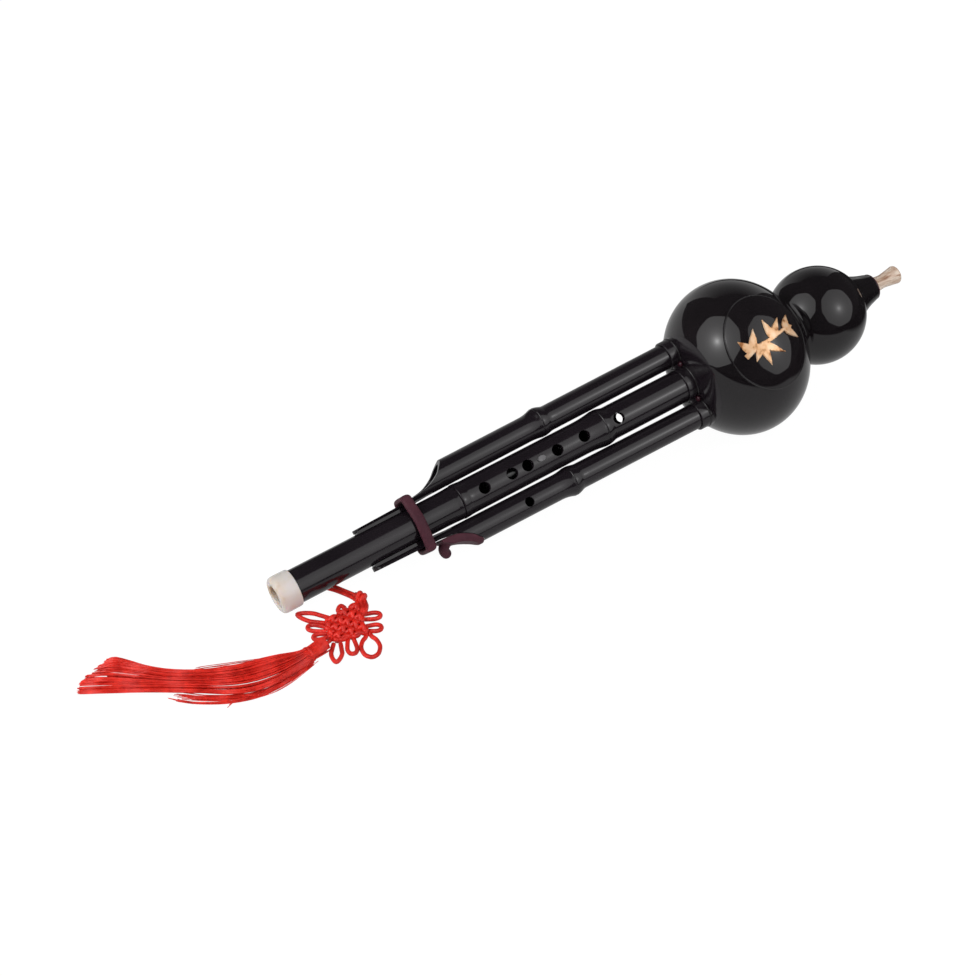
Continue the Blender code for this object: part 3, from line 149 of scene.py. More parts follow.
# Camera, as the photograph was taken
eye = bpy.data.cameras.new("camera")
eye.sensor_width = 36
eye.lens = 70.082
camera = bpy.data.objects.new("camera", eye)
camera.location = (-0.489795, -0.64610, 0.6706)
camera.rotation_euler = (math.radians(49.874), 0, math.radians(-32.65))
scene.collection.objects.link(camera)
scene.camera = camera


# Materials


def new_material(name):
    """A material with only its Principled shader and output."""
    finish = bpy.data.materials.new(name)
    finish.use_nodes = True
    tree = finish.node_tree
    return finish, tree, tree.nodes["Principled BSDF"]


def add_node(tree, kind, **settings):
    node = tree.nodes.new(kind)
    for key, value in settings.items():
        setattr(node, key, value)
    return node


def surface_group():
    """Fine marks on a handled surface: a slow cloud, small specks, and a height for a bump."""
    group = bpy.data.node_groups.new("handled_surface", "ShaderNodeTree")
    for name, kind in (("Cloud Scale", "NodeSocketFloat"), ("Speck Scale", "NodeSocketFloat")):
        group.interface.new_socket(name, in_out="INPUT", socket_type=kind)
    for name in ("Cloud", "Specks", "Height"):
        group.interface.new_socket(name, in_out="OUTPUT", socket_type="NodeSocketFloat")
    start = add_node(group, "NodeGroupInput")
    end = add_node(group, "NodeGroupOutput")
    place = add_node(group, "ShaderNodeTexCoord")
    cloud = add_node(group, "ShaderNodeTexNoise")
    cloud.inputs["Detail"].default_value = 3
    specks = add_node(group, "ShaderNodeTexNoise")
    specks.inputs["Detail"].default_value = 5
    specks.inputs["Roughness"].default_value = 0.65
    sharpen = add_node(group, "ShaderNodeMapRange")
    sharpen.inputs["From Min"].default_value = 0.52
    sharpen.inputs["From Max"].default_value = 0.72
    both = add_node(group, "ShaderNodeMath", operation="MULTIPLY_ADD")
    both.inputs[1].default_value = 0.35
    link = group.links.new
    link(place.outputs["Object"], cloud.inputs["Vector"])
    link(place.outputs["Object"], specks.inputs["Vector"])
    link(start.outputs["Cloud Scale"], cloud.inputs["Scale"])
    link(start.outputs["Speck Scale"], specks.inputs["Scale"])
    link(specks.outputs["Fac"], sharpen.inputs["Value"])
    link(cloud.outputs["Fac"], end.inputs["Cloud"])
    link(sharpen.outputs["Result"], end.inputs["Specks"])
    link(specks.outputs["Fac"], both.inputs[0])
    link(cloud.outputs["Fac"], both.inputs[2])
    link(both.outputs["Value"], end.inputs["Height"])
    return group


HANDLED = surface_group()


def handled(tree, cloud_scale, speck_scale):
    node = add_node(tree, "ShaderNodeGroup", node_tree=HANDLED)
    node.inputs["Cloud Scale"].default_value = cloud_scale
    node.inputs["Speck Scale"].default_value = speck_scale
    return node


def ramp(tree, source, stops):
    """A colour ramp on a value."""
    node = add_node(tree, "ShaderNodeValToRGB")
    while len(node.color_ramp.elements) < len(stops):
        node.color_ramp.elements.new(0.5)
    for element, (position, colour) in zip(node.color_ramp.elements, stops):
        element.position = position
        element.color = (*colour, 1.0) if len(colour) == 3 else colour
    tree.links.new(source, node.inputs["Fac"])
    return node.outputs["Color"]


def value_range(tree, source, low, high, start=0.3, end=0.7):
    node = add_node(tree, "ShaderNodeMapRange")
    node.inputs["From Min"].default_value = start
    node.inputs["From Max"].default_value = end
    node.inputs["To Min"].default_value = low
    node.inputs["To Max"].default_value = high
    tree.links.new(source, node.inputs["Value"])
    return node.outputs["Result"]


def bump(tree, shader, height, strength, distance):
    node = add_node(tree, "ShaderNodeBump")
    node.inputs["Strength"].default_value = strength
    node.inputs["Distance"].default_value = distance
    tree.links.new(height, node.inputs["Height"])
    tree.links.new(node.outputs["Normal"], shader.inputs["Normal"])


def polished_resin(name, dark, light, rough_low, rough_high):
    """Polished resin: near black with a slow drift in tone and a faint haze of handling."""
    finish, tree, shader = new_material(name)
    marks = handled(tree, 38, 900)
    colour = ramp(tree, marks.outputs["Cloud"], ((0.30, dark), (0.75, light)))
    tree.links.new(colour, shader.inputs["Base Color"])
    tree.links.new(value_range(tree, marks.outputs["Cloud"], rough_low, rough_high), shader.inputs["Roughness"])
    bump(tree, shader, marks.outputs["Height"], 0.02, 0.0002)
    shader.inputs["IOR"].default_value = 1.5
    return finish


def rubber(name, dark, light):
    finish, tree, shader = new_material(name)
    marks = handled(tree, 160, 2600)
    colour = ramp(tree, marks.outputs["Cloud"], ((0.3, dark), (0.7, light)))
    tree.links.new(colour, shader.inputs["Base Color"])
    tree.links.new(value_range(tree, marks.outputs["Specks"], 0.50, 0.66, 0, 1), shader.inputs["Roughness"])
    bump(tree, shader, marks.outputs["Height"], 0.25, 0.0002)
    shader.inputs["Specular IOR Level"].default_value = 0.10
    return finish


def marbled_resin():
    """Ivory-white resin with faint warm veins."""
    finish, tree, shader = new_material("ivory_resin")
    marks = handled(tree, 95, 1400)
    colour = ramp(
        tree,
        marks.outputs["Cloud"],
        ((0.28, (0.60, 0.47, 0.34)), (0.42, (0.74, 0.66, 0.60)), (0.60, (0.77, 0.71, 0.69)), (0.75, (0.72, 0.60, 0.55))),
    )
    tree.links.new(colour, shader.inputs["Base Color"])
    tree.links.new(value_range(tree, marks.outputs["Specks"], 0.18, 0.30, 0, 1), shader.inputs["Roughness"])
    bump(tree, shader, marks.outputs["Height"], 0.05, 0.0002)
    shader.inputs["Subsurface Weight"].default_value = 0.5
    shader.inputs["Subsurface Scale"].default_value = 0.004
    shader.inputs["Subsurface Radius"].default_value = (1.0, 0.75, 0.45)
    return finish


def horn_resin():
    """Horn-like resin: brown streaks along the tip over a pinkish tan."""
    finish, tree, shader = new_material("streaked_horn")
    place = add_node(tree, "ShaderNodeTexCoord")
    turn = add_node(tree, "ShaderNodeMapping")
    turn.inputs["Scale"].default_value = (40, 420, 420)
    turn.inputs["Rotation"].default_value = (0, -SLOPE, 0)
    streaks = add_node(tree, "ShaderNodeTexNoise")
    streaks.inputs["Scale"].default_value = 1.4
    streaks.inputs["Detail"].default_value = 4
    tree.links.new(place.outputs["Object"], turn.inputs["Vector"])
    tree.links.new(turn.outputs["Vector"], streaks.inputs["Vector"])
    colour = ramp(
        tree,
        streaks.outputs["Fac"],
        ((0.30, (0.30, 0.14, 0.07)), (0.44, (0.62, 0.44, 0.33)), (0.58, (0.79, 0.65, 0.53)), (0.72, (0.87, 0.73, 0.62))),
    )
    tree.links.new(colour, shader.inputs["Base Color"])
    marks = handled(tree, 120, 1500)
    tree.links.new(value_range(tree, marks.outputs["Cloud"], 0.20, 0.34), shader.inputs["Roughness"])
    bump(tree, shader, streaks.outputs["Fac"], 0.06, 0.0002)
    return finish


def gilt():
    """Peach gold over a brown ground that shows through in spots."""
    finish, tree, shader = new_material("worn_gilt")
    marks = handled(tree, 260, 900)
    colour = ramp(
        tree,
        marks.outputs["Cloud"],
        ((0.34, (0.40, 0.15, 0.05)), (0.43, (0.84, 0.48, 0.24)), (0.56, (0.94, 0.60, 0.36)), (0.75, (0.98, 0.72, 0.50))),
    )
    tree.links.new(colour, shader.inputs["Base Color"])
    tree.links.new(value_range(tree, marks.outputs["Specks"], 0.36, 0.52, 0, 1), shader.inputs["Roughness"])
    bump(tree, shader, marks.outputs["Height"], 0.15, 0.0002)
    shader.inputs["Metallic"].default_value = 0.35
    return finish


def satin_metal(name, dark, light, rough_low, rough_high):
    finish, tree, shader = new_material(name)
    marks = handled(tree, 300, 2500)
    colour = ramp(tree, marks.outputs["Cloud"], ((0.3, dark), (0.7, light)))
    tree.links.new(colour, shader.inputs["Base Color"])
    tree.links.new(value_range(tree, marks.outputs["Specks"], rough_low, rough_high, 0, 1), shader.inputs["Roughness"])
    bump(tree, shader, marks.outputs["Height"], 0.08, 0.0002)
    shader.inputs["Metallic"].default_value = 1.0
    return finish


def silk_cord(name, dark, light, ribs):
    """Glossy red cord or thread: fine ribs across it by its own UV, if it has them."""
    finish, tree, shader = new_material(name)
    marks = handled(tree, 220, 3200)
    colour = ramp(tree, marks.outputs["Cloud"], ((0.3, dark), (0.7, light)))
    tree.links.new(colour, shader.inputs["Base Color"])
    shader.inputs["Roughness"].default_value = 0.36
    shader.inputs["Specular IOR Level"].default_value = 0.42
    place = add_node(tree, "ShaderNodeUVMap")
    turn = add_node(tree, "ShaderNodeMapping")
    turn.inputs["Scale"].default_value = (ribs, 2, 1)
    wave = add_node(tree, "ShaderNodeTexWave", wave_type="BANDS", bands_direction="DIAGONAL")
    wave.inputs["Scale"].default_value = 1.0
    wave.inputs["Distortion"].default_value = 0.4
    tree.links.new(place.outputs["UV"], turn.inputs["Vector"])
    tree.links.new(turn.outputs["Vector"], wave.inputs["Vector"])
    bump(tree, shader, wave.outputs["Fac"], 0.35, 0.0002)
    return finish


BLACK = polished_resin("black_polished_resin", (0.0065, 0.0052, 0.0062), (0.0115, 0.0088, 0.0105), 0.03, 0.06)
PIPE_BLACK = polished_resin("black_pipe_resin", (0.0085, 0.0062, 0.0085), (0.0135, 0.0098, 0.0130), 0.10, 0.17)
BEAD = polished_resin("dark_wine_bead", (0.026, 0.004, 0.009), (0.052, 0.008, 0.018), 0.08, 0.16)
WINE = rubber("wine_rubber_satin", (0.062, 0.021, 0.031), (0.088, 0.029, 0.041))
SEAL = rubber("seal_rubber_matt", (0.016, 0.016, 0.017), (0.045, 0.045, 0.045))
IVORY = marbled_resin()
HORN = horn_resin()
GILT = gilt()
SILVER = satin_metal("satin_silver", (0.120, 0.117, 0.122), (0.185, 0.181, 0.187), 0.45, 0.60)
BRASS = satin_metal("rolled_brass", (0.55, 0.36, 0.13), (0.78, 0.58, 0.28), 0.22, 0.40)
CORD = silk_cord("red_cord_silky", (0.55, 0.009, 0.004), (0.94, 0.027, 0.014), 60)
THREAD = silk_cord("red_thread_silky", (0.70, 0.013, 0.007), (1.0, 0.042, 0.024), 4)

FINISHES = {
    "black_resin": BLACK,
    "white_resin": IVORY,
    "horn": HORN,
    "gold": GILT,
    "silver": SILVER,
    "brass": BRASS,
    "wine_rubber": WINE,
    "seal_rubber": SEAL,
    "red_cord": CORD,
}
for part in frame["record"]["subparts"]:
    node = nodes[part["node"]]
    node.data.materials.clear()
    node.data.materials.append(FINISHES[part["material_slot"]])


# Making pieces


def finish_piece(name, shape, finish, body, replaced=(), sharp=32, place=None):
    """Makes one piece of a shape, puts it in its place on the flute, and has it ride on its body."""
    if place is not None:
        bmesh.ops.transform(shape, matrix=place, verts=shape.verts)
    mesh = bpy.data.meshes.new(name)
    shape.to_mesh(mesh)
    shape.free()
    mesh.materials.clear()
    mesh.materials.append(finish)
    mesh.shade_smooth()
    if sharp:
        mesh.set_sharp_from_angle(angle=math.radians(sharp))
    piece = bpy.data.objects.new(name, mesh)
    scene.collection.objects.link(piece)
    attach(piece, body)
    if replaced:
        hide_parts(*replaced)
    return piece


def rounded(corners, closed=True, steps=4):
    """A line of (x, radius, fillet) corners with each corner rounded by its own fillet."""
    result = []
    count = len(corners)
    for k, (x, y, fillet) in enumerate(corners):
        here = Vector((x, y))
        if fillet == 0 or (not closed and k in (0, count - 1)):
            result.append(here)
            continue
        back = Vector(corners[k - 1][:2]) - here
        ahead = Vector(corners[(k + 1) % count][:2]) - here
        start = here + back.normalized() * min(fillet, back.length * 0.45)
        end = here + ahead.normalized() * min(fillet, ahead.length * 0.45)
        for step in range(steps + 1):
            t = step / steps
            result.append(start * (1 - t) ** 2 + here * 2 * t * (1 - t) + end * t**2)
    return result


def turned(outline, steps=96, closed=True):
    """A shape turned about the x axis from a line of (x, radius) points."""
    shape = bmesh.new()
    corners = [shape.verts.new((x, 0, radius)) for x, radius in outline]
    pairs = list(zip(corners, corners[1:]))
    if closed:
        pairs.append((corners[-1], corners[0]))
    for pair in pairs:
        shape.edges.new(pair)
    bmesh.ops.spin(
        shape,
        geom=shape.verts[:] + shape.edges[:],
        cent=(0, 0, 0),
        axis=(1, 0, 0),
        angle=2 * math.pi,
        steps=steps,
        use_merge=True,
    )
    bmesh.ops.remove_doubles(shape, verts=shape.verts, dist=0.000002)
    bmesh.ops.recalc_face_normals(shape, faces=shape.faces)
    return shape


def slab(outline, low, high):
    """A flat outline in the xy plane, raised from low to high."""
    shape = bmesh.new()
    corners = [shape.verts.new((x, y, low)) for x, y in outline]
    face = shape.faces.new(corners)
    raised = bmesh.ops.extrude_face_region(shape, geom=[face])
    top = [thing for thing in raised["geom"] if isinstance(thing, bmesh.types.BMVert)]
    bmesh.ops.translate(shape, vec=(0, 0, high - low), verts=top)
    bmesh.ops.recalc_face_normals(shape, faces=shape.faces)
    return shape


def drill(radius, length, place, sides=48):
    """A plain round cutter along its own z, from its origin up."""
    shape = bmesh.new()
    bmesh.ops.create_cone(shape, cap_ends=True, segments=sides, radius1=radius, radius2=radius, depth=length)
    bmesh.ops.translate(shape, vec=(0, 0, length / 2), verts=shape.verts)
    bmesh.ops.transform(shape, matrix=place, verts=shape.verts)
    return shape


def countersink(radius, surface, flare, place, sides=48):
    """A drill whose mouth flares softly at the surface's height, to break the edge of its hole."""
    corners = [(0.0, 0.0), (0.0, radius), (surface - flare * 2.2, radius)]
    for step in range(1, 6):
        t = step / 5
        corners.append((surface - flare * 2.2 * (1 - t), radius + flare * t**2))
    corners.append((surface + flare, radius + flare * 2.2))
    corners.append((surface + flare, 0.0))
    shape = turned(corners, sides, closed=False)
    upright = Matrix.Rotation(-math.pi / 2, 4, "Y")
    bmesh.ops.transform(shape, matrix=place @ upright, verts=shape.verts)
    bmesh.ops.recalc_face_normals(shape, faces=shape.faces)
    return shape


def helper(shape):
    mesh = bpy.data.meshes.new("helper")
    shape.to_mesh(mesh)
    shape.free()
    thing = bpy.data.objects.new("helper", mesh)
    scene.collection.objects.link(thing)
    return thing


def combine(shape, steps):
    """Joins or cuts a shape with others, each given as (operation, shape), and gives back the result."""
    base = helper(shape)
    others = []
    for operation, other in steps:
        others.append(helper(other))
        change = base.modifiers.new("change", "BOOLEAN")
        change.operation = operation
        change.solver = "EXACT"
        change.object = others[-1]
    bpy.context.view_layer.update()
    mesh = bpy.data.meshes.new_from_object(base.evaluated_get(bpy.context.evaluated_depsgraph_get()))
    result = bmesh.new()
    result.from_mesh(mesh)
    bmesh.ops.remove_doubles(result, verts=result.verts, dist=0.000001)
    for thing in [base] + others:
        data = thing.data
        bpy.data.objects.remove(thing)
        bpy.data.meshes.remove(data)
    bpy.data.meshes.remove(mesh)
    return result


def smooth_through(points, steps):
    """Points on one smooth curve through the given ones, steps to each stretch."""
    route = [Vector(p) for p in points]
    route = [route[0] * 2 - route[1]] + route + [route[-1] * 2 - route[-2]]
    result = []
    for i in range(1, len(route) - 2):
        before, start, end, after = route[i - 1 : i + 3]
        for k in range(steps):
            t = k / steps
            result.append(
                0.5
                * (
                    2 * start
                    + (end - before) * t
                    + (2 * before - 5 * start + 4 * end - after) * t**2
                    + (3 * start - before - 3 * end + after) * t**3
                )
            )
    return result + [route[-2]]


def tube_mesh(name, routes, radius, sides_level=3, closed=False):
    """Round tubes along routes, as one mesh with a UV map along each."""
    curve = bpy.data.curves.new(name, "CURVE")
    curve.dimensions = "3D"
    curve.bevel_depth = radius
    curve.bevel_resolution = sides_level
    curve.use_fill_caps = not closed
    for route in routes:
        spline = curve.splines.new("POLY")
        spline.points.add(len(route) - 1)
        for point, place in zip(spline.points, route):
            point.co = (*place, 1.0)
        spline.use_cyclic_u = closed
    holder = bpy.data.objects.new(name + "_line", curve)
    scene.collection.objects.link(holder)
    bpy.context.view_layer.update()
    mesh = bpy.data.meshes.new_from_object(holder.evaluated_get(bpy.context.evaluated_depsgraph_get()))
    bpy.data.objects.remove(holder)
    bpy.data.curves.remove(curve)
    mesh.name = name
    return mesh


def finish_mesh(name, mesh, finish, body, replaced=()):
    mesh.materials.clear()
    mesh.materials.append(finish)
    mesh.shade_smooth()
    piece = bpy.data.objects.new(name, mesh)
    scene.collection.objects.link(piece)
    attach(piece, body)
    if replaced:
        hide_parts(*replaced)
    return piece


# Cords, knot and tassel, from the point under the foot ring's face

STRAND_LEFT = (
    (0.0247, 0.0049, 0.0074),
    (0.0250, 0.0058, 0.0055),
    (0.0255, 0.0052, 0.0033),
    (0.0265, 0.0034, 0.0016),
    (0.0281, 0.0010, 0.0013),
    (0.0299, -0.0011, 0.0013),
    (0.0320, -0.0036, 0.0013),
    (0.0340, -0.0076, 0.0013),
    (0.0359, -0.0112, 0.0014),
    (0.0370, -0.0146, 0.0017),
    (0.0374, -0.0180, 0.0022),
    (0.0364, -0.0212, 0.0028),
    (0.0337, -0.0240, 0.0032),
    (0.0295, -0.0264, 0.0032),
    (0.0228, -0.0305, 0.0030),
    (0.0148, -0.0356, 0.0036),
    (0.0074, -0.0382, 0.0043),
    (-0.0056, -0.0409, 0.0043),
)
STRAND_RIGHT = (
    (0.0294, 0.0036, 0.0096),
    (0.0296, 0.0047, 0.0085),
    (0.0298, 0.00575, 0.0067),
    (0.0301, 0.0058, 0.00485),
    (0.0305, 0.0051, 0.0031),
    (0.0310, 0.00375, 0.0019),
    (0.0316, 0.0022, 0.0014),
    (0.0322, 0.0008, 0.0013),
    (0.0332, -0.0012, 0.0013),
    (0.0345, -0.0036, 0.0013),
    (0.0361, -0.0069, 0.0013),
    (0.0378, -0.0102, 0.0014),
    (0.0391, -0.0136, 0.0018),
    (0.0398, -0.0166, 0.0026),
)
BUTTON_CENTRE = Vector((0.0392, -0.0162, 0.0030))
BUTTON_TURN = math.radians(110.0)
BUTTON_LENGTH = 0.0048
THICK_CORD = 0.00122
KNOT_CENTRE = Vector((0.0228, -0.0313, 0.0))
KNOT_TURN = math.radians(-2.0)
KNOT_LEAN = math.radians(14.0)
KNOT_FAN = 19.0
KNOT_PITCH = 0.00345
EAR_HEIGHT = 0.0023
KNOT_LEAD = (
    (0.0393, -0.0176, 0.0034),
    (0.0390, -0.0204, 0.0036),
    (0.0382, -0.0230, 0.0040),
    (0.0372, -0.0256, 0.0046),
    (0.0352, -0.0282, 0.0046),
    (0.0318, -0.0300, 0.0036),
    (0.0280, -0.0306, 0.0028),
)
# Outlines of one side of an ear: share of its reach, share of its half width
LOOP = ((-0.10, 0.62), (0.30, 0.88), (0.66, 1.0), (0.92, 0.66))
LEAF = ((-0.10, 0.64), (0.26, 0.88), (0.52, 1.0), (0.82, 0.64))
RING = ((-0.26, 0.26), (-0.10, 0.20), (0.04, 0.36), (0.22, 0.76), (0.52, 1.0), (0.82, 0.78), (0.95, 0.42))
EARS = (
    (0.0262, -0.0222, 0.0284, -0.0166, 0.0038, LEAF),
    (0.0171, -0.0218, 0.0068, -0.0102, 0.0058, LEAF),
    (0.0135, -0.0272, 0.0068, -0.0211, 0.0044, LOOP),
    (0.0126, -0.0318, 0.0056, -0.0292, 0.0038, LOOP),
    (0.0334, -0.0296, 0.0420, -0.0332, 0.0046, LOOP),
    (0.0310, -0.0378, 0.0380, -0.0412, 0.0046, LOOP),
    (0.0294, -0.0432, 0.0237, -0.0568, 0.0094, RING),
    (0.0204, -0.0412, 0.0168, -0.0497, 0.0048, LOOP),
    (0.0129, -0.0404, 0.0070, -0.0502, 0.0054, LEAF),
)
CAP_RADIUS = 0.0040
CAP_FROM = Vector((0.0074, -0.0382, CAP_RADIUS + TOUCH))
CAP_TO = Vector((-0.0044, -0.0405, CAP_RADIUS + TOUCH))
# Cross-sections of the threads, from the head on: far edge, near edge, and thickness
SKIRT = (
    (0.0066, -0.0343, 0.0082, -0.0421, 0.0078),
    (0.0005, -0.0355, 0.0020, -0.0432, 0.0078),
    (-0.0057, -0.0367, -0.0042, -0.0445, 0.0078),
    (-0.0112, -0.0340, -0.0170, -0.0480, 0.0080),
    (-0.0212, -0.0306, -0.0292, -0.0490, 0.0076),
    (-0.0325, -0.0279, -0.0395, -0.0466, 0.0068),
    (-0.0430, -0.0241, -0.0490, -0.0413, 0.0062),
    (-0.0533, -0.0194, -0.0585, -0.0340, 0.0058),
    (-0.0628, -0.0128, -0.0680, -0.0275, 0.0054),
    (-0.0712, -0.0050, -0.0775, -0.0210, 0.0050),
    (-0.0775, 0.0045, -0.0880, -0.0145, 0.0044),
    (-0.0828, 0.0116, -0.0985, -0.0080, 0.0038),
    (-0.0860, 0.0132, -0.1058, -0.0030, 0.0028),
)
# Threads that have slipped out of the skirt and lie beside it
STRAY = (
    ((-0.0735, -0.0270), (-0.0685, -0.0324), (-0.0624, -0.0378), (-0.0511, -0.0448),
     (-0.0389, -0.0492), (-0.0290, -0.0500), (-0.0200, -0.0486), (-0.0110, -0.0464), (-0.0040, -0.0440)),
    ((-0.0700, -0.0262), (-0.0600, -0.0348), (-0.0500, -0.0411), (-0.0390, -0.0461), (-0.0290, -0.0480),
     (-0.0190, -0.0472), (-0.0100, -0.0450), (-0.0030, -0.0430)),
    ((-0.0537, -0.0491), (-0.0461, -0.0465), (-0.0379, -0.0478), (-0.0250, -0.0490), (-0.0170, -0.0476)),
    ((-0.0600, -0.0146), (-0.0494, -0.0173), (-0.0392, -0.0211), (-0.0265, -0.0258), (-0.0167, -0.0304),
     (-0.0060, -0.0368)),
    ((-0.0567, -0.0171), (-0.0493, -0.0200), (-0.0385, -0.0246), (-0.0280, -0.0290), (-0.0170, -0.0330)),
)


def length_of(route):
    return sum((b - a).length for a, b in zip(route, route[1:]))


def even_route(points, spacing, passes):
    """The same route in even steps, then eased by averaging each point with its neighbours."""
    fine = smooth_through(points, 8)
    count = max(2, round(length_of(fine) / spacing))
    step = length_of(fine) / count
    route = [fine[0]]
    gone = 0.0
    for a, b in zip(fine, fine[1:]):
        stretch_length = (b - a).length
        while len(route) < count and gone + stretch_length >= step * len(route):
            route.append(a.lerp(b, (step * len(route) - gone) / stretch_length))
        gone += stretch_length
    route.append(fine[-1])
    for _ in range(passes):
        eased = [(a + 2 * b + c) / 4 for a, b, c in zip(route, route[1:], route[2:])]
        route = [route[0]] + eased + [route[-1]]
    return route


def make_strand(name, stops, node, passes):
    route = [UNDER_FOOT + p for p in even_route(stops, 0.0008, passes)]
    mesh = tube_mesh(name, [route], CORD_RADIUS, 4)
    piece = finish_mesh(name, mesh, CORD, "main_pipe", (node,))
    return piece, route


def make_button():
    """The button knot: two thick turns of cord round the two strands, and the fold between them."""
    stops = []
    for k in range(45):
        t = k / 44
        angle = 4 * math.pi * t - 0.6
        out = 0.00190
        along = -0.0011 + (t - 0.5) * (BUTTON_LENGTH + 0.0008)
        stops.append(Vector((along, out * math.cos(angle), out * math.sin(angle))))
    core = [Vector((BUTTON_LENGTH * share, 0, 0)) for share in (-0.55, -0.25, 0.0, 0.25, 0.55)]
    place = Matrix.Translation(UNDER_FOOT + BUTTON_CENTRE) @ Matrix.Rotation(BUTTON_TURN, 4, "Z")
    mesh = tube_mesh("button_windings", [stops, core], 0.00142, 3)
    mesh.transform(place)
    return finish_mesh("button_windings", mesh, CORD, "main_pipe", ("button_knot",))


def on_knot(x, y, z):
    """A place on the knot, from a plain square grid: its rows fan out and its columns lean."""
    fanned = y * (1 + KNOT_FAN * x)
    leant = Vector((x + fanned * math.sin(KNOT_LEAN), fanned * math.cos(KNOT_LEAN), z))
    return UNDER_FOOT + KNOT_CENTRE + Matrix.Rotation(KNOT_TURN, 3, "Z") @ leant


def weave_route(count, height, lift, phase, turned_over):
    """One cord that runs to and fro over the knot, over and under the other one at each crossing."""
    half = (count - 1) / 2
    route = []
    for row in range(count):
        across = (row - half) * KNOT_PITCH
        line = []
        for k in range((count - 1) * 6 + 1):
            along = (k / 6 - half) * KNOT_PITCH
            sign = math.cos(math.pi * (k / 6 + row + phase))
            line.append((along, across, height + lift * sign))
        if row % 2:
            line.reverse()
        route += line
        if row < count - 1:
            side = 1 if row % 2 == 0 else -1
            for turn in (0.2, 0.4, 0.6, 0.8):
                angle = math.pi * turn
                out = (half + 0.30 * math.sin(angle)) * KNOT_PITCH * side
                up = across + (1 - math.cos(angle)) / 2 * KNOT_PITCH
                route.append((out, up, height))
    if turned_over:
        route = [(-y, x, z) for x, y, z in route]
    return [on_knot(x, y, z) for x, y, z in route]


def ear_route(root_x, root_y, tip_x, tip_y, width, form):
    root = Vector((root_x, root_y, 0.0))
    reach = Vector((tip_x, tip_y, 0.0)) - root
    across = Vector((-reach.y, reach.x, 0.0)).normalized() * width / 2
    level = Vector((0, 0, EAR_HEIGHT))
    stops = [(along, -side) for along, side in form] + [(1.0, 0.0)] + list(reversed(form))
    return [UNDER_FOOT + root + reach * along + across * side + level for along, side in stops]


def make_knot():
    """The endless knot: two layers of cord woven at right angles, and the ears that loop out of the weave."""
    routes = []
    for count, height, lift in ((6, 0.0040, 0.00085), (5, 0.0021, 0.0006)):
        routes.append(weave_route(count, height, lift, 0, False))
        routes.append(weave_route(count, height, lift, count - 1, True))
    # The doubled cord that comes down from the button into the knot's corner
    for shift in (-0.0009, 0.0009):
        stops = [UNDER_FOOT + Vector((x + shift, y - shift * 0.3, z)) for x, y, z in KNOT_LEAD]
        routes.append(smooth_through(stops, 5))
    mesh = tube_mesh("knot_weave", routes, THICK_CORD, 3)
    loops = []
    for ear in EARS:
        loops.append(smooth_through(ear_route(*ear), 5))
    ears = tube_mesh("knot_ears", loops, 0.00117, 3)
    shape = bmesh.new()
    shape.from_mesh(mesh)
    shape.from_mesh(ears)
    shape.to_mesh(mesh)
    shape.free()
    bpy.data.meshes.remove(ears)
    return finish_mesh("knot_weave", mesh, CORD, "main_pipe", ("endless_knot",))


def make_cap():
    """The firm core of the tassel's head, bound with thread where the skirt begins."""
    way = CAP_TO - CAP_FROM
    length = way.length
    place = Matrix.Translation(UNDER_FOOT + CAP_FROM) @ Matrix.Rotation(math.atan2(way.y, way.x), 4, "Z")
    outline = [(0.0, 0.0), (0.0, CAP_RADIUS - 0.0018)]
    stops = [(length * 0.08, CAP_RADIUS - 0.0009), (length * 0.30, CAP_RADIUS - 0.0006)]
    stops += [(length * 0.60, CAP_RADIUS - 0.0006), (length * 0.84, CAP_RADIUS - 0.0006), (length, CAP_RADIUS - 0.0006)]
    stops += [(length * 1.12, CAP_RADIUS - 0.0010), (length * 1.30, CAP_RADIUS - 0.0018)]
    outline += [(p.x, p.y) for p in smooth_through([(x, r, 0) for x, r in stops], 4)]
    outline.append((length * 1.30, 0.0))
    shape = turned(outline, 40, closed=False)
    routes = []
    for turn in range(3):
        ring = []
        at = length * 0.84 + 0.00034 * turn
        for k in range(49):
            angle = 2 * math.pi * k / 48
            ring.append(place @ Vector((at + 0.00034 * k / 48, CAP_RADIUS * math.cos(angle), CAP_RADIUS * math.sin(angle))))
        routes.append(ring)
    binding = tube_mesh("binding", routes, 0.00022, 1)
    binding.transform(place.inverted())
    shape.from_mesh(binding)
    bpy.data.meshes.remove(binding)
    return finish_piece("tassel_head", shape, THREAD, "main_pipe", ("tassel_cap",), place=place, sharp=60)


def skirt_point(share, side, up):
    """A place in the skirt: share of its length, side from -1 near to 1 far, up from -1 to 1."""
    at = share * (len(SKIRT) - 1)
    k = min(int(at), len(SKIRT) - 2)
    t = at - k
    a, b = SKIRT[k], SKIRT[k + 1]
    far = Vector((a[0], a[1], 0)).lerp(Vector((b[0], b[1], 0)), t)
    near = Vector((a[2], a[3], 0)).lerp(Vector((b[2], b[3], 0)), t)
    thick = a[4] + (b[4] - a[4]) * t
    lift = thick / 2 * up * math.sqrt(max(0.0, 1 - side * side))
    return (far + near) / 2 + (far - near) / 2 * side + Vector((0, 0, TOUCH + thick / 2 + lift))


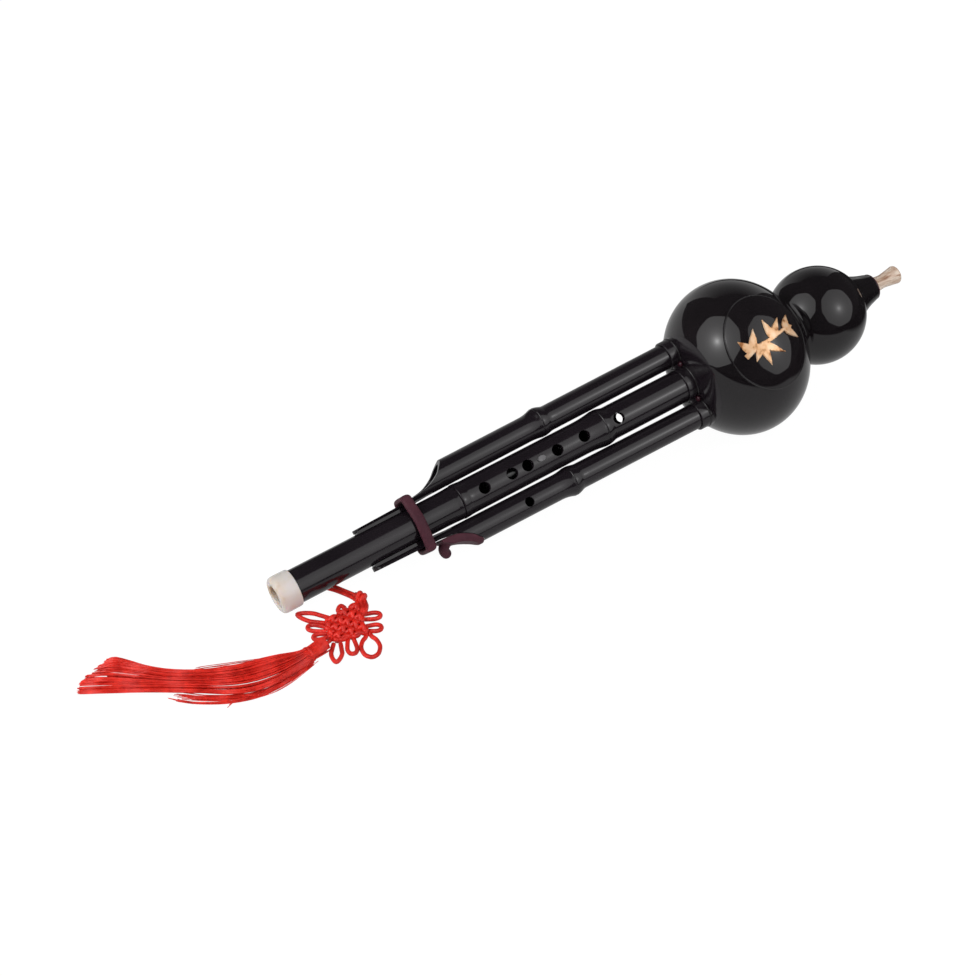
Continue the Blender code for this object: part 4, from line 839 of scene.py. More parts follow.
def make_skirt():
    """Loose silky threads in fine locks that fan out from the head along the table, and a few stray ones."""
    draw = random.Random(7)
    routes = []
    locks = 88
    for lock in range(locks):
        on_top = lock % 2 == 1
        even = (lock + 0.5) / locks * 2 - 1
        middle = (0.5 * even + 0.5 * math.sin(even * math.pi / 2)) * 0.97
        high = 0.50 + 0.46 * draw.random() if on_top else draw.random() * 1.2 - 0.7
        wander = draw.gauss(0, 0.12 if on_top else 0.02)
        sway = middle * 5 + draw.gauss(0, 0.9 if on_top else 0.2)
        reach = 1.005 + 0.055 * (1 - middle * middle) + (0.024 if middle < 0 else 0.0) - abs(draw.gauss(0, 0.026))
        for k in range(9):
            spread_side = draw.gauss(0, 0.008 if on_top else 0.021)
            spread_up = draw.gauss(0, 0.045)
            stray = draw.gauss(0, 0.016)
            end = reach - abs(draw.gauss(0, 0.013))
            stops = []
            for step in range(15):
                share = end * step / 14
                bound = max(0.0, 1 - share / 0.17)
                side = middle + wander * share + 0.05 * math.sin(share * 8 + sway) * share
                side += spread_side * (1 + bound) + stray * share * share
                side = max(-0.99, min(0.99, side))
                up = max(-0.97, min(0.97, high + spread_up))
                shell = math.copysign(0.98, up)
                stops.append(UNDER_FOOT + skirt_point(share, side, up + (shell - up) * min(1.0, bound * 1.6)))
            routes.append(smooth_through(stops, 2))
    for count, line in enumerate(STRAY):
        for k in range((12, 44, 2, 4, 3)[count]):
            loose = 0.0012 if count == 1 else 0.0004
            shift = Vector((draw.gauss(0, loose), draw.gauss(0, loose), draw.random() * 0.0014))
            low = [UNDER_FOOT + Vector((x, y, 0.0008)) + shift * (1 + 0.3 * math.sin(x * 90 + k)) for x, y in line]
            low[0] = low[0].lerp(low[1], 0.95 * draw.random())
            routes.append(smooth_through(low, 4))
    mesh = tube_mesh("tassel_threads", routes, 0.00021, 0)
    return finish_mesh("tassel_threads", mesh, THREAD, "main_pipe", ("tassel_skirt",))


LEFT_RUN = STRAND_LEFT
LEFT_RUN += tuple(tuple(skirt_point(share, 0.0, 0.0)) for share in (0.25, 0.37, 0.49, 0.61, 0.73, 0.84, 0.93))
left, left_route = make_strand("left_strand", LEFT_RUN, "cord_strand_left", 22)
right, right_route = make_strand("right_strand", STRAND_RIGHT, "cord_strand_right", 8)
button = make_button()
knot = make_knot()
head = make_cap()
threads = make_skirt()


# Gourd


def bulb_radius(along, centre, half_length, radius):
    share = 1 - ((along - centre) / half_length) ** 2
    return radius * math.sqrt(share) if share > 0 else 0.0


def gourd_radius(along):
    lower = bulb_radius(along, LOWER_AT, LOWER_HALF_LENGTH, LOWER_RADIUS)
    upper = bulb_radius(along, UPPER_AT, UPPER_HALF_LENGTH, UPPER_RADIUS)
    return (lower**WAIST_SOFTNESS + upper**WAIST_SOFTNESS) ** (1 / WAIST_SOFTNESS)


def bulb_stations(centre, half_length, low, high, count):
    """Places along x from high to low, spread evenly in angle round a bulb."""
    start = math.acos(max(-1.0, min(1.0, (high - centre) / half_length)))
    end = math.acos(max(-1.0, min(1.0, (low - centre) / half_length)))
    return [centre + half_length * math.cos(start + (end - start) * k / count) for k in range(count + 1)]


def make_lower_bulb():
    inner_length = LOWER_HALF_LENGTH - GOURD_WALL
    inner_radius = LOWER_RADIUS - GOURD_WALL
    rim = RIM_AT + 0.00003
    outline = [(x, gourd_radius(x)) for x in bulb_stations(LOWER_AT, LOWER_HALF_LENGTH, rim, WAIST_AT, 72)]
    seat_end = PLUG_END - 0.0008
    neck = LOWER_AT + inner_length * math.sqrt(1 - (NECK_BORE / inner_radius) ** 2)
    outline += [(rim, OPENING_RADIUS), (seat_end, OPENING_RADIUS)]
    for x in reversed(bulb_stations(LOWER_AT, inner_length, seat_end, neck, 24)):
        outline.append((x, bulb_radius(x, LOWER_AT, inner_length, inner_radius)))
    outline.append((WAIST_AT, NECK_BORE))
    shape = turned(outline, 160)
    return finish_piece("lower_bulb", shape, BLACK, "gourd", ("gourd_lower_bulb",), place=FLUTE)


def make_upper_bulb():
    inner_length = UPPER_HALF_LENGTH - GOURD_WALL
    inner_radius = UPPER_RADIUS - GOURD_WALL
    waist = WAIST_AT + TOUCH
    spigot = NECK_BORE - TOUCH
    spigot_bore = spigot - NECK_SPIGOT_WALL
    opening = SOCKET_BORE_IN_GOURD
    top = UPPER_AT + UPPER_HALF_LENGTH * math.sqrt(1 - (opening / UPPER_RADIUS) ** 2)
    outline = [(x, gourd_radius(x)) for x in bulb_stations(UPPER_AT, UPPER_HALF_LENGTH, waist, top, 56)]
    outline += [(waist, spigot), (waist - NECK_SPIGOT_LENGTH, spigot), (waist - NECK_SPIGOT_LENGTH, spigot_bore)]
    low = UPPER_AT - inner_length * math.sqrt(1 - (spigot_bore / inner_radius) ** 2)
    high = UPPER_AT + inner_length * math.sqrt(1 - (opening / inner_radius) ** 2)
    for x in reversed(bulb_stations(UPPER_AT, inner_length, low, high, 20)):
        outline.append((x, bulb_radius(x, UPPER_AT, inner_length, inner_radius)))
    shape = turned(outline, 128)
    return finish_piece("upper_bulb", shape, BLACK, "gourd", ("gourd_upper_bulb",), place=FLUTE)


def on_bulb(x, y, height):
    """A place over the lower bulb, height out from its surface, above the point (x, y) in the flute's frame."""
    long = LOWER_HALF_LENGTH + height
    wide = LOWER_RADIUS + height
    share = 1 - ((x - LOWER_AT) / long) ** 2 - (y / wide) ** 2
    return Vector((x, y, wide * math.sqrt(max(0.0, share))))


def make_medallion():
    """A thin oval disc that follows the bulb, its edge rounded over."""
    low = TOUCH
    high = TOUCH + MEDALLION_THICKNESS
    rings = [(1.0, low), (1.0, high - 0.00020), (0.9985, high + 0.00006), (0.9950, high + 0.00021)]
    rings += [(0.9900, high + 0.00027), (0.9850, high + 0.00021), (0.9812, high + 0.00006), (0.9780, high - 0.00004)]
    rings += [(0.9740, high - 0.00001), (0.968, high)]
    rings += [(0.968 * (1 - k / 26), high) for k in range(1, 26)]
    shape = turned([(height, share) for share, height in rings] + [(high, 0.0)], 128, closed=False)
    for vertex in shape.verts:
        height, y, x = vertex.co
        vertex.co = on_bulb(LOWER_AT + x * MEDALLION_HALF_LENGTH, y * MEDALLION_HALF_WIDTH, height)
    edge = [e for e in shape.edges if e.is_boundary]
    bmesh.ops.holes_fill(shape, edges=edge)
    bmesh.ops.recalc_face_normals(shape, faces=shape.faces)
    return finish_piece("medallion", shape, BLACK, "gourd", ("medallion_disc",), place=FLUTE, sharp=70)


def leaf_outline(length, width):
    half = []
    for k in range(25):
        t = k / 24
        half.append((length * t, width / 2 * (math.sin(math.pi * t**0.62) * 0.94 + 0.06 * (1 - t))))
    return half + [(x, -y) for x, y in reversed(half[:-1])]


def make_ornament():
    """A bamboo sprig in relief: a stem and its groups of leaves, laid over the medallion."""
    stem = ORNAMENT_STEM_LENGTH
    half = stem / 2
    line = [(-half, -0.10 * stem), (-0.45 * half, -0.02 * stem), (0.1 * half, 0.0), (half, 0.07 * stem)]
    middle = [p.to_2d() for p in smooth_through([(x, y, 0) for x, y in line], 8)]
    side_a = []
    side_b = []
    for k, place in enumerate(middle):
        ahead = middle[min(k + 1, len(middle) - 1)] - middle[max(k - 1, 0)]
        width = ORNAMENT_STEM_WIDTH / 2 * (1.1 - 0.4 * k / (len(middle) - 1))
        across = Vector((-ahead.y, ahead.x)).normalized() * width
        side_a.append(tuple(place + across))
        side_b.append(tuple(place - across))
    leaves = ((0.16, 62, 0.46), (0.16, 116, 0.36), (0.42, -40, 0.52), (0.42, -86, 0.46), (0.42, -130, 0.36))
    leaves += ((0.70, 44, 0.46), (0.70, 92, 0.42), (0.96, -4, 0.24), (0.96, -50, 0.38), (0.96, 48, 0.32))
    others = []
    for count, (share, angle, length) in enumerate(leaves):
        place = middle[round(share * (len(middle) - 1))]
        turn = math.radians(angle)
        back = Vector((math.cos(turn), math.sin(turn))) * ORNAMENT_STEM_WIDTH * 0.35
        leaf = slab(leaf_outline(length * stem, ORNAMENT_LEAF_WIDTH), 0.0002 * (count + 1) * 0.01, 1 + 0.01 * count)
        at = Matrix.Translation((place.x - back.x, place.y - back.y, 0)) @ Matrix.Rotation(turn, 4, "Z")
        bmesh.ops.transform(leaf, matrix=at, verts=leaf.verts)
        others.append(("UNION", leaf))
    shape = combine(slab(side_a + side_b[::-1], -0.001, 0.9), others)
    # Keep the flat outline only, then raise it again as one even plate
    for face in list(shape.faces):
        if abs(face.normal.z) < 0.5 or face.calc_center_median().z < 0.5:
            shape.faces.remove(face)
    for vertex in list(shape.verts):
        if not vertex.link_faces:
            shape.verts.remove(vertex)
    for vertex in shape.verts:
        vertex.co.z = 0.0
    bmesh.ops.remove_doubles(shape, verts=shape.verts, dist=0.00003)
    bmesh.ops.dissolve_limit(shape, angle_limit=0.01, verts=shape.verts, edges=shape.edges)
    for axis, span in ((0, 0.025), (1, 0.025)):
        places = [-span + 0.0012 * k for k in range(int(span * 2 / 0.0012) + 1)]
        for at in places:
            cut_at = Vector((0, 0, 0))
            normal = Vector((0, 0, 0))
            cut_at[axis] = at
            normal[axis] = 1
            geometry = shape.verts[:] + shape.edges[:] + shape.faces[:]
            bmesh.ops.bisect_plane(shape, geom=geometry, plane_co=cut_at, plane_no=normal, dist=0.000001)
    raised = bmesh.ops.extrude_face_region(shape, geom=shape.faces[:])
    plate = [thing for thing in raised["geom"] if isinstance(thing, bmesh.types.BMFace)]
    outer = [thing for thing in raised["geom"] if isinstance(thing, bmesh.types.BMVert)]
    bmesh.ops.inset_region(shape, faces=plate, thickness=0.00034, use_even_offset=False, use_boundary=True)
    for vertex in outer:
        vertex.co.z = 0.35
    for vertex in {v for face in plate for v in face.verts}:
        vertex.co.z = 1.0
    bmesh.ops.recalc_face_normals(shape, faces=shape.faces)
    low = TOUCH * 2 + MEDALLION_THICKNESS
    for vertex in shape.verts:
        x, y, share = vertex.co
        vertex.co = on_bulb(LOWER_AT + ORNAMENT_SHIFT + x, y, low + ORNAMENT_THICKNESS * share)
    return finish_piece("bamboo_sprig", shape, GILT, "gourd", ("gold_ornament",), place=FLUTE, sharp=40)


make_lower_bulb()
make_upper_bulb()
make_medallion()
make_ornament()


# Pipe base


def make_base():
    """The base: a dome in line with the bulb, three collars, the web between them, and the plug inside."""
    groove = (PLUG_END - 0.0058, PLUG_END - 0.0034)
    groove_root = BASE_PLUG_RADIUS - 0.0012
    outline = [(PLUG_END, 0.0), (PLUG_END, BASE_PLUG_RADIUS), (groove[1], BASE_PLUG_RADIUS)]
    outline += [(groove[1], groove_root), (groove[0], groove_root), (groove[0], BASE_PLUG_RADIUS)]
    outline += [(RIM_AT, BASE_PLUG_RADIUS)]
    for k in range(40):
        share = math.cos(math.pi / 2 * k / 40)
        outline.append((RIM_AT - DOME_DEPTH * (1 - share**DOME_FLATNESS), BASE_RADIUS * share))
    outline.append((RIM_AT - DOME_DEPTH, 0.0))
    base = turned(outline, 128, closed=False)
    end = RIM_AT - TOUCH
    length = end - PIPE_REACH
    inward = Matrix.Rotation(math.pi / 2, 4, "Y")
    toe = ((1, DRONE_TOE_IN, "silent"), (-1, -DRONE_TOE_IN, "sounding"))
    steps = []

    def collar(radius):
        corners = [(0.0, 0.0, 0), (0.0, radius, 0.0004), (length, radius, 0), (length, 0.0, 0)]
        return turned(rounded(corners, closed=False), 64, closed=False)

    middle = collar(MAIN_RADIUS + COLLAR_WALL)
    bmesh.ops.translate(middle, vec=(PIPE_REACH, 0, 0), verts=middle.verts)
    steps.append(("UNION", middle))
    frames = []
    for side, angle, _ in toe:
        at = Matrix.Translation((PIPE_REACH, side * DRONE_SPACING, 0)) @ Matrix.Rotation(angle, 4, "Z")
        frames.append(at)
        ring = collar(DRONE_RADIUS + COLLAR_WALL + SLIDING)
        bmesh.ops.transform(ring, matrix=at, verts=ring.verts)
        steps.append(("UNION", ring))
    web = bmesh.new()
    bmesh.ops.create_cube(web, size=1.0)
    web_length = length - 0.0004
    bmesh.ops.scale(web, vec=(web_length, DRONE_SPACING * 2, WEB_HALF_HEIGHT * 2), verts=web.verts)
    bmesh.ops.translate(web, vec=(PIPE_REACH + 0.0004 + web_length / 2, 0, 0), verts=web.verts)
    steps.append(("UNION", web))
    bore = PLUG_END - PIPE_REACH + 0.010
    start = Matrix.Translation((PIPE_REACH - 0.005, 0, 0))
    steps.append(("DIFFERENCE", drill(MAIN_RADIUS + SLIDING, bore, start @ inward, 64)))
    for at in frames:
        back = at @ Matrix.Translation((-0.005, 0, 0)) @ inward
        steps.append(("DIFFERENCE", drill(DRONE_RADIUS + SLIDING, SPIGOT_START + TOUCH + 0.005, back, 64)))
        steps.append(("DIFFERENCE", drill(DRONE_SPIGOT + SLIDING, bore, back, 48)))
    shape = combine(base, steps)
    return finish_piece("base_with_collars", shape, PIPE_BLACK, "pipe_assembly", ("pipe_base",), place=FLUTE)


def make_bead(name, place, root, radius, thickness, body="pipe_assembly", finish=None):
    """A thin glossy bead of set adhesive round the root of a collar."""
    ring = []
    for k in range(16):
        angle = 2 * math.pi * k / 16
        ring.append((root + thickness * math.cos(angle), radius + thickness * math.sin(angle)))
    finish_piece(name, turned(ring, 96), finish or BLACK, body, place=place)


def make_drops():
    """Two small wine-red drops of adhesive, in the corners between the collars."""
    shape = bmesh.new()
    for side in (1, -1):
        part = bmesh.new()
        bmesh.ops.create_icosphere(part, subdivisions=3, radius=1.0)
        bmesh.ops.scale(part, vec=(0.0013, 0.0017, 0.0020), verts=part.verts)
        middle = (RIM_AT - DOME_DEPTH - 0.0008, side * (MAIN_RADIUS + COLLAR_WALL + 0.0002), 0.0048)
        bmesh.ops.translate(part, vec=middle, verts=part.verts)
        mesh = bpy.data.meshes.new("drop")
        part.to_mesh(mesh)
        part.free()
        shape.from_mesh(mesh)
        bpy.data.meshes.remove(mesh)
    finish_piece("adhesive_drops", shape, BEAD, "pipe_assembly", sharp=0, place=FLUTE)


make_base()
ROOT_AT = RIM_AT - DOME_DEPTH
make_bead("main_collar_bead", FLUTE, ROOT_AT, MAIN_RADIUS + COLLAR_WALL + 0.0002, 0.0006)
make_bead("silent_collar_bead", SILENT, ROOT_AT - PIPE_REACH, DRONE_RADIUS + COLLAR_WALL + 0.0001, 0.0005)
make_bead("sounding_collar_bead", SOUNDING, ROOT_AT - PIPE_REACH, DRONE_RADIUS + COLLAR_WALL + 0.0001, 0.0005)
make_drops()


# Pipes


def joint_line(at, above, below, rise, spread=1.0):
    """(x, radius) points of a bamboo joint, from high x to low x: two close ridges and a long hollow taper."""
    stops = [
        (at + 0.0064, above),
        (at + 0.0050, above + rise * 0.20),
        (at + 0.0036, above + rise * 0.56),
        (at + 0.0022, above + rise * 0.86),
        (at + 0.0010, above + rise),
        (at + 0.0004, above + rise * 0.97),
        (at + 0.0001, above + rise * 0.78),
        (at - 0.0002, below + rise * 0.80),
        (at - 0.0005, below + rise * 1.00),
        (at - 0.0011 * spread, below + rise * 0.90),
        (at - 0.0023 * spread, below + rise * 0.64),
        (at - 0.0036 * spread, below + rise * 0.40),
        (at - 0.0050 * spread, below + rise * 0.20),
        (at - 0.0066 * spread, below + rise * 0.06),
        (at - 0.0082 * spread, below),
    ]
    return [(p.x, p.y) for p in smooth_through([(x, r, 0) for x, r in stops], 4)]


def joint_rise(at, full):
    """A joint's rise towards the pipe beside it, which it just clears."""
    gap = DRONE_GAP - (PIPE_REACH - at) * math.tan(DRONE_TOE_IN)
    return min(full, gap - TOUCH)


def swell(shape, at, plain, change):
    """Moves a joint's raised points out or in by a share of their rise, given by their direction."""
    for vertex in shape.verts:
        x, y, z = vertex.co
        out = math.hypot(y, z)
        if abs(x - at) < 0.0135 and out > plain + 0.000005:
            extra = (out - plain) * change(y / out, z / out)
            vertex.co = Vector((x, y * (1 + extra / out), z * (1 + extra / out)))


def stretch(start, end, radius, count):
    """Even stations along a plain stretch of pipe, without its ends."""
    return [(start + (end - start) * k / count, radius) for k in range(1, count)]


def make_main_pipe():
    foot_rise = joint_rise(MAIN_FOOT_JOINT, MAIN_JOINT_RISE)
    upper = joint_line(MAIN_HEAD_JOINT, MAIN_RADIUS, MAIN_RADIUS, joint_rise(MAIN_HEAD_JOINT, MAIN_JOINT_RISE), 1.6)
    lower = joint_line(MAIN_FOOT_JOINT, MAIN_RADIUS, MAIN_FOOT_RADIUS, foot_rise, 1.6)
    shoulder = RING_LENGTH + TOUCH
    outline = [(MAIN_END, MAIN_BORE), (MAIN_END, MAIN_RADIUS)]
    outline += stretch(MAIN_END, upper[0][0], MAIN_RADIUS, 30) + upper
    outline += stretch(upper[-1][0], lower[0][0], MAIN_RADIUS, 40) + lower
    outline += stretch(lower[-1][0], shoulder, MAIN_FOOT_RADIUS, 36)
    outline += [(shoulder, MAIN_FOOT_RADIUS), (shoulder, FOOT_SPIGOT_RADIUS)]
    outline += [(RING_LIP + TOUCH, FOOT_SPIGOT_RADIUS), (RING_LIP + TOUCH, MAIN_BORE)]
    pipe = turned(outline, 96)
    swell(pipe, MAIN_FOOT_JOINT, MAIN_RADIUS, lambda y, z: (MAIN_JOINT_RISE / foot_rise - 1) * z * z)
    steps = []
    reach = MAIN_RADIUS * 1.4
    up = Matrix.Identity(4)
    down = Matrix.Rotation(math.pi, 4, "X")
    for at in FINGER_HOLES_AT:
        place = Matrix.Translation((at, 0, 0)) @ up
        steps.append(("DIFFERENCE", countersink(FINGER_HOLE_RADIUS, MAIN_RADIUS, 0.00022, place)))
    place = Matrix.Translation((THUMB_HOLE_AT, 0, 0)) @ down
    steps.append(("DIFFERENCE", countersink(FINGER_HOLE_RADIUS, MAIN_RADIUS, 0.00022, place)))
    for at in CORD_HOLES_AT:
        place = Matrix.Translation((at, 0, 0)) @ down
        steps.append(("DIFFERENCE", drill(CORD_HOLE_RADIUS, reach, place, 24)))
    reed_at = MAIN_END - 0.0130
    seat_height = MAIN_BORE + 0.0009
    for size, height in (((0.0200, MAIN_RADIUS * 2.2, 0.0040), seat_height + 0.0020), ((0.0136, 0.0040, 0.0060), seat_height)):
        block = bmesh.new()
        bmesh.ops.create_cube(block, size=1.0)
        bmesh.ops.scale(block, vec=size, verts=block.verts)
        bmesh.ops.translate(block, vec=(reed_at, 0, height), verts=block.verts)
        steps.append(("DIFFERENCE", block))
    shape = combine(pipe, steps)
    return finish_piece("fingered_pipe", shape, PIPE_BLACK, "main_pipe", ("main_pipe",), place=FLUTE)


make_main_pipe()


def opening_line(cut_at, tip_at, tongue, steps=8):
    points = [(cut_at - PIPE_REACH - back, share * DRONE_RADIUS) for back, share in OPENING_SHAPE]
    root = cut_at - PIPE_REACH - OPENING_SHAPE[-1][0]
    tip = tip_at - PIPE_REACH
    points.append((root * 0.75 + tip * 0.25, tongue[0] * DRONE_RADIUS))
    points.append((tip, tongue[1] * DRONE_RADIUS))
    return [(p.x, p.y) for p in smooth_through([(x, y, 0) for x, y in points], steps)]


def drone_centre(along):
    return DRONE_SPACING - (PIPE_REACH - along) * math.tan(DRONE_TOE_IN)


def make_drone(name, side, place, cut_at, tip_at, tongue, joint_at, tail):
    """One drone pipe with its slanted cut, the long tongue under the rubber ring, and its bamboo joint."""
    tip = tip_at - PIPE_REACH
    rise = joint_rise(joint_at, DRONE_JOINT_RISE)
    joint = joint_line(joint_at - PIPE_REACH, DRONE_RADIUS, DRONE_RADIUS, rise)
    outline = [(tail, DRONE_SPIGOT_BORE), (tail, DRONE_SPIGOT), (SPIGOT_START, DRONE_SPIGOT)]
    outline += [(SPIGOT_START, DRONE_RADIUS)] + stretch(SPIGOT_START, joint[0][0], DRONE_RADIUS, 24) + joint
    outline += stretch(joint[-1][0], tip, DRONE_RADIUS, 44)
    outline += [(tip, DRONE_RADIUS), (tip, DRONE_BORE), (SPIGOT_START - 0.0016, DRONE_BORE)]
    outline += [(SPIGOT_START - 0.0002, DRONE_SPIGOT_BORE)]
    pipe = turned(outline, 80)
    fuller = DRONE_JOINT_RISE / rise - 1
    swell(pipe, joint_at - PIPE_REACH, DRONE_RADIUS, lambda y, z: fuller * (0.5 + 0.5 * y * side))
    line = opening_line(cut_at, tip_at, tongue)
    high = DRONE_RADIUS * 1.5
    beyond = tip - 0.004
    cut = [(line[0][0], high)] + line + [(beyond, line[-1][1]), (beyond, high)]
    cut = [(x, y * side) for x, y in cut]
    steps = []
    if side < 0:
        at = Matrix.Translation((DRONE_HOLE_AT - PIPE_REACH, 0, 0.0005))
        steps.append(("DIFFERENCE", drill(DRONE_HOLE_RADIUS, DRONE_RADIUS * 1.5, at, 48)))
    steps.append(("DIFFERENCE", slab(cut, -high, high)))
    nose = DRONE_RADIUS * 0.72
    waste = [(tip - 0.003, -high), (tip + nose, -high)]
    for k in range(25):
        angle = math.radians(-90 + 180 * k / 24)
        waste.append((tip + nose - nose * math.cos(angle), nose * math.sin(angle)))
    waste += [(tip + nose, high), (tip - 0.003, high)]
    trim = slab(waste, -high, high)
    bmesh.ops.transform(trim, matrix=Matrix.Rotation(math.pi / 2, 4, "X"), verts=trim.verts)
    steps.append(("DIFFERENCE", trim))
    back = FLUTE.inverted() @ place
    start = tip_at + 0.0012
    parting = BAND_AT + BAND_WIDTH / 2
    clear = MAIN_FOOT_RADIUS - 0.0010
    wall = 0.0008 - DRONE_RADIUS
    end = 0.0990
    pad = [(start, clear), (parting, clear), (parting + 0.0001, MAIN_FOOT_RADIUS + TOUCH)]
    pad += [(end, drone_centre(end) + wall - 0.0006), (end, drone_centre(end) + wall)]
    pad += [(start, drone_centre(start) + wall)]
    filler = slab([(x, y * side) for x, y in pad], -0.0030, 0.0030)
    bmesh.ops.transform(filler, matrix=back.inverted(), verts=filler.verts)
    steps.append(("UNION", filler))
    inward = Matrix.Rotation(math.pi / 2, 4, "Y")
    relief = drill(MAIN_FOOT_RADIUS + TOUCH, 0.060, Matrix.Translation((tip_at - 0.004, 0, 0)) @ inward, 96)
    bmesh.ops.transform(relief, matrix=back.inverted(), verts=relief.verts)
    steps.append(("DIFFERENCE", relief))
    if side < 0:
        length = 0.0136
        reed_at = tail - 0.0022 - length / 2
        seat_height = DRONE_SPIGOT_BORE + 0.0006
        for size, height in (((length + TOUCH * 2, DRONE_SPIGOT * 2.4, 0.0030), seat_height + 0.0015), ((0.0096, 0.0032, 0.0040), seat_height)):
            block = bmesh.new()
            bmesh.ops.create_cube(block, size=1.0)
            bmesh.ops.scale(block, vec=size, verts=block.verts)
            bmesh.ops.translate(block, vec=(reed_at, 0, height), verts=block.verts)
            steps.append(("DIFFERENCE", block))
    shape = combine(pipe, steps)
    node = "silent_drone_pipe" if side > 0 else "sounding_drone_pipe"
    return finish_piece(name, shape, PIPE_BLACK, "pipe_assembly", (node,), place=place)


SOUNDING_CUT = 0.1133
SOUNDING_TONGUE = (-0.56, -0.62)
make_drone("silent_drone", 1, SILENT, 0.1108, 0.0515, (-0.66, -0.74), 0.1700, 0.0215)
make_drone("sounding_drone", -1, SOUNDING, SOUNDING_CUT, 0.0520, SOUNDING_TONGUE, 0.1712, 0.0372)


def offset_line(line, distance):
    """The same line, moved away from the drone's axis by distance."""
    moved = []
    for k, (x, y) in enumerate(line):
        before = line[max(k - 1, 0)]
        after = line[min(k + 1, len(line) - 1)]
        way = Vector((after[0] - before[0], after[1] - before[1])).normalized()
        moved.append((x + way.y * distance, y - way.x * distance))
    return moved


def make_stopper():
    """The soft rubber lid on the sounding drone's opening, with its finger tail."""
    line = opening_line(SOUNDING_CUT, 0.0520, SOUNDING_TONGUE, 10)
    start = SOUNDING_CUT - PIPE_REACH
    line = [p for p in line if p[0] > start - STOPPER_LENGTH]
    low = offset_line(line, TOUCH)[10:]
    high = []
    for x, y in offset_line(line, TOUCH)[10:]:
        share = min(1.0, 0.30 + (x - line[-1][0]) / 0.0075)
        high.append((x, y + STOPPER_THICKNESS * share * 0.98))
    outline = [(x, -y) for x, y in low + high[::-1]]
    lid = slab(outline, -DRONE_RADIUS * 1.5, DRONE_RADIUS * 1.5)
    length = STOPPER_LENGTH * 1.6
    across = Matrix.Translation((start - 0.0014 - length, 0, 0)) @ Matrix.Rotation(math.pi / 2, 4, "Y")
    steps = [("INTERSECT", drill(DRONE_RADIUS + 0.0009, length, across, 72))]
    lid = combine(lid, steps)
    bmesh.ops.transform(lid, matrix=FLUTE.inverted() @ SOUNDING, verts=lid.verts)
    route = []
    for back, out, down in STOPPER_TAIL:
        along = SOUNDING_CUT - back
        route.append(Vector((along, -drone_centre(along) - out, down)))
    tail = bmesh.new()
    tail.from_mesh(tube_mesh("tail", [smooth_through(route, 6)], STOPPER_TAIL_RADIUS, 5))
    bmesh.ops.remove_doubles(tail, verts=tail.verts, dist=0.000001)
    end = bmesh.new()
    bmesh.ops.create_icosphere(end, subdivisions=3, radius=STOPPER_TAIL_RADIUS)
    bmesh.ops.translate(end, vec=route[-1], verts=end.verts)
    shape = combine(lid, [("UNION", tail), ("UNION", end)])
    thing = helper(shape)
    change = thing.modifiers.new("skin", "REMESH")
    change.mode = "VOXEL"
    change.voxel_size = 0.00028
    change = thing.modifiers.new("soften", "SMOOTH")
    change.iterations = 14
    change.factor = 0.5
    bpy.context.view_layer.update()
    mesh = bpy.data.meshes.new_from_object(thing.evaluated_get(bpy.context.evaluated_depsgraph_get()))
    data = thing.data
    bpy.data.objects.remove(thing)
    bpy.data.meshes.remove(data)
    shape = bmesh.new()
    shape.from_mesh(mesh)
    bpy.data.meshes.remove(mesh)
    finish_piece("soft_stopper", shape, WINE, "drone_stopper", ("drone_stopper",), sharp=0, place=FLUTE)


def make_end_ring():
    seat = FOOT_SPIGOT_RADIUS + TOUCH
    corners = [
        (RING_LENGTH, seat, 0),
        (RING_LENGTH, RING_RADIUS - 0.00035, 0.0003),
        (RING_LENGTH - 0.0007, RING_RADIUS - 0.00010, 0.0004),
        (RING_LENGTH * 0.55, RING_RADIUS, 0.0020),
        (0.0025, RING_RADIUS, 0.0010),
        (0.0010, RING_RADIUS - 0.00040, 0.0006),
        (0.00025, RING_RADIUS - 0.00120, 0.0006),
        (0.0, RING_RADIUS - 0.00190, 0.0004),
        (0.0, RING_BORE + 0.0005, 0.0004),
        (0.0005, RING_BORE, 0.0004),
        (RING_LIP, RING_BORE, 0),
        (RING_LIP, seat, 0),
    ]
    shape = turned([(p.x, p.y) for p in rounded(corners)], 128)
    return finish_piece("foot_ring", shape, IVORY, "main_pipe", ("end_ring",), place=FLUTE)


def make_label():
    """A small bare oval plate between two finger holes, its edge rounded over."""
    low = MAIN_RADIUS + TOUCH
    high = low + 0.0004
    rings = [(high, 0.0), (high, 0.80), (high - 0.00003, 0.92), (high - 0.00014, 0.985), (low, 1.0), (low, 0.0)]
    shape = turned(rings, 48, closed=False)
    for vertex in shape.verts:
        height, y, x = vertex.co
        vertex.co = Vector((LABEL_AT + x * 0.00265, y * 0.0016, height))
    bmesh.ops.recalc_face_normals(shape, faces=shape.faces)
    return finish_piece("oval_plate", shape, SILVER, "main_pipe", ("label_plate",), place=FLUTE)


make_stopper()
make_end_ring()
make_label()


# Mouthpiece


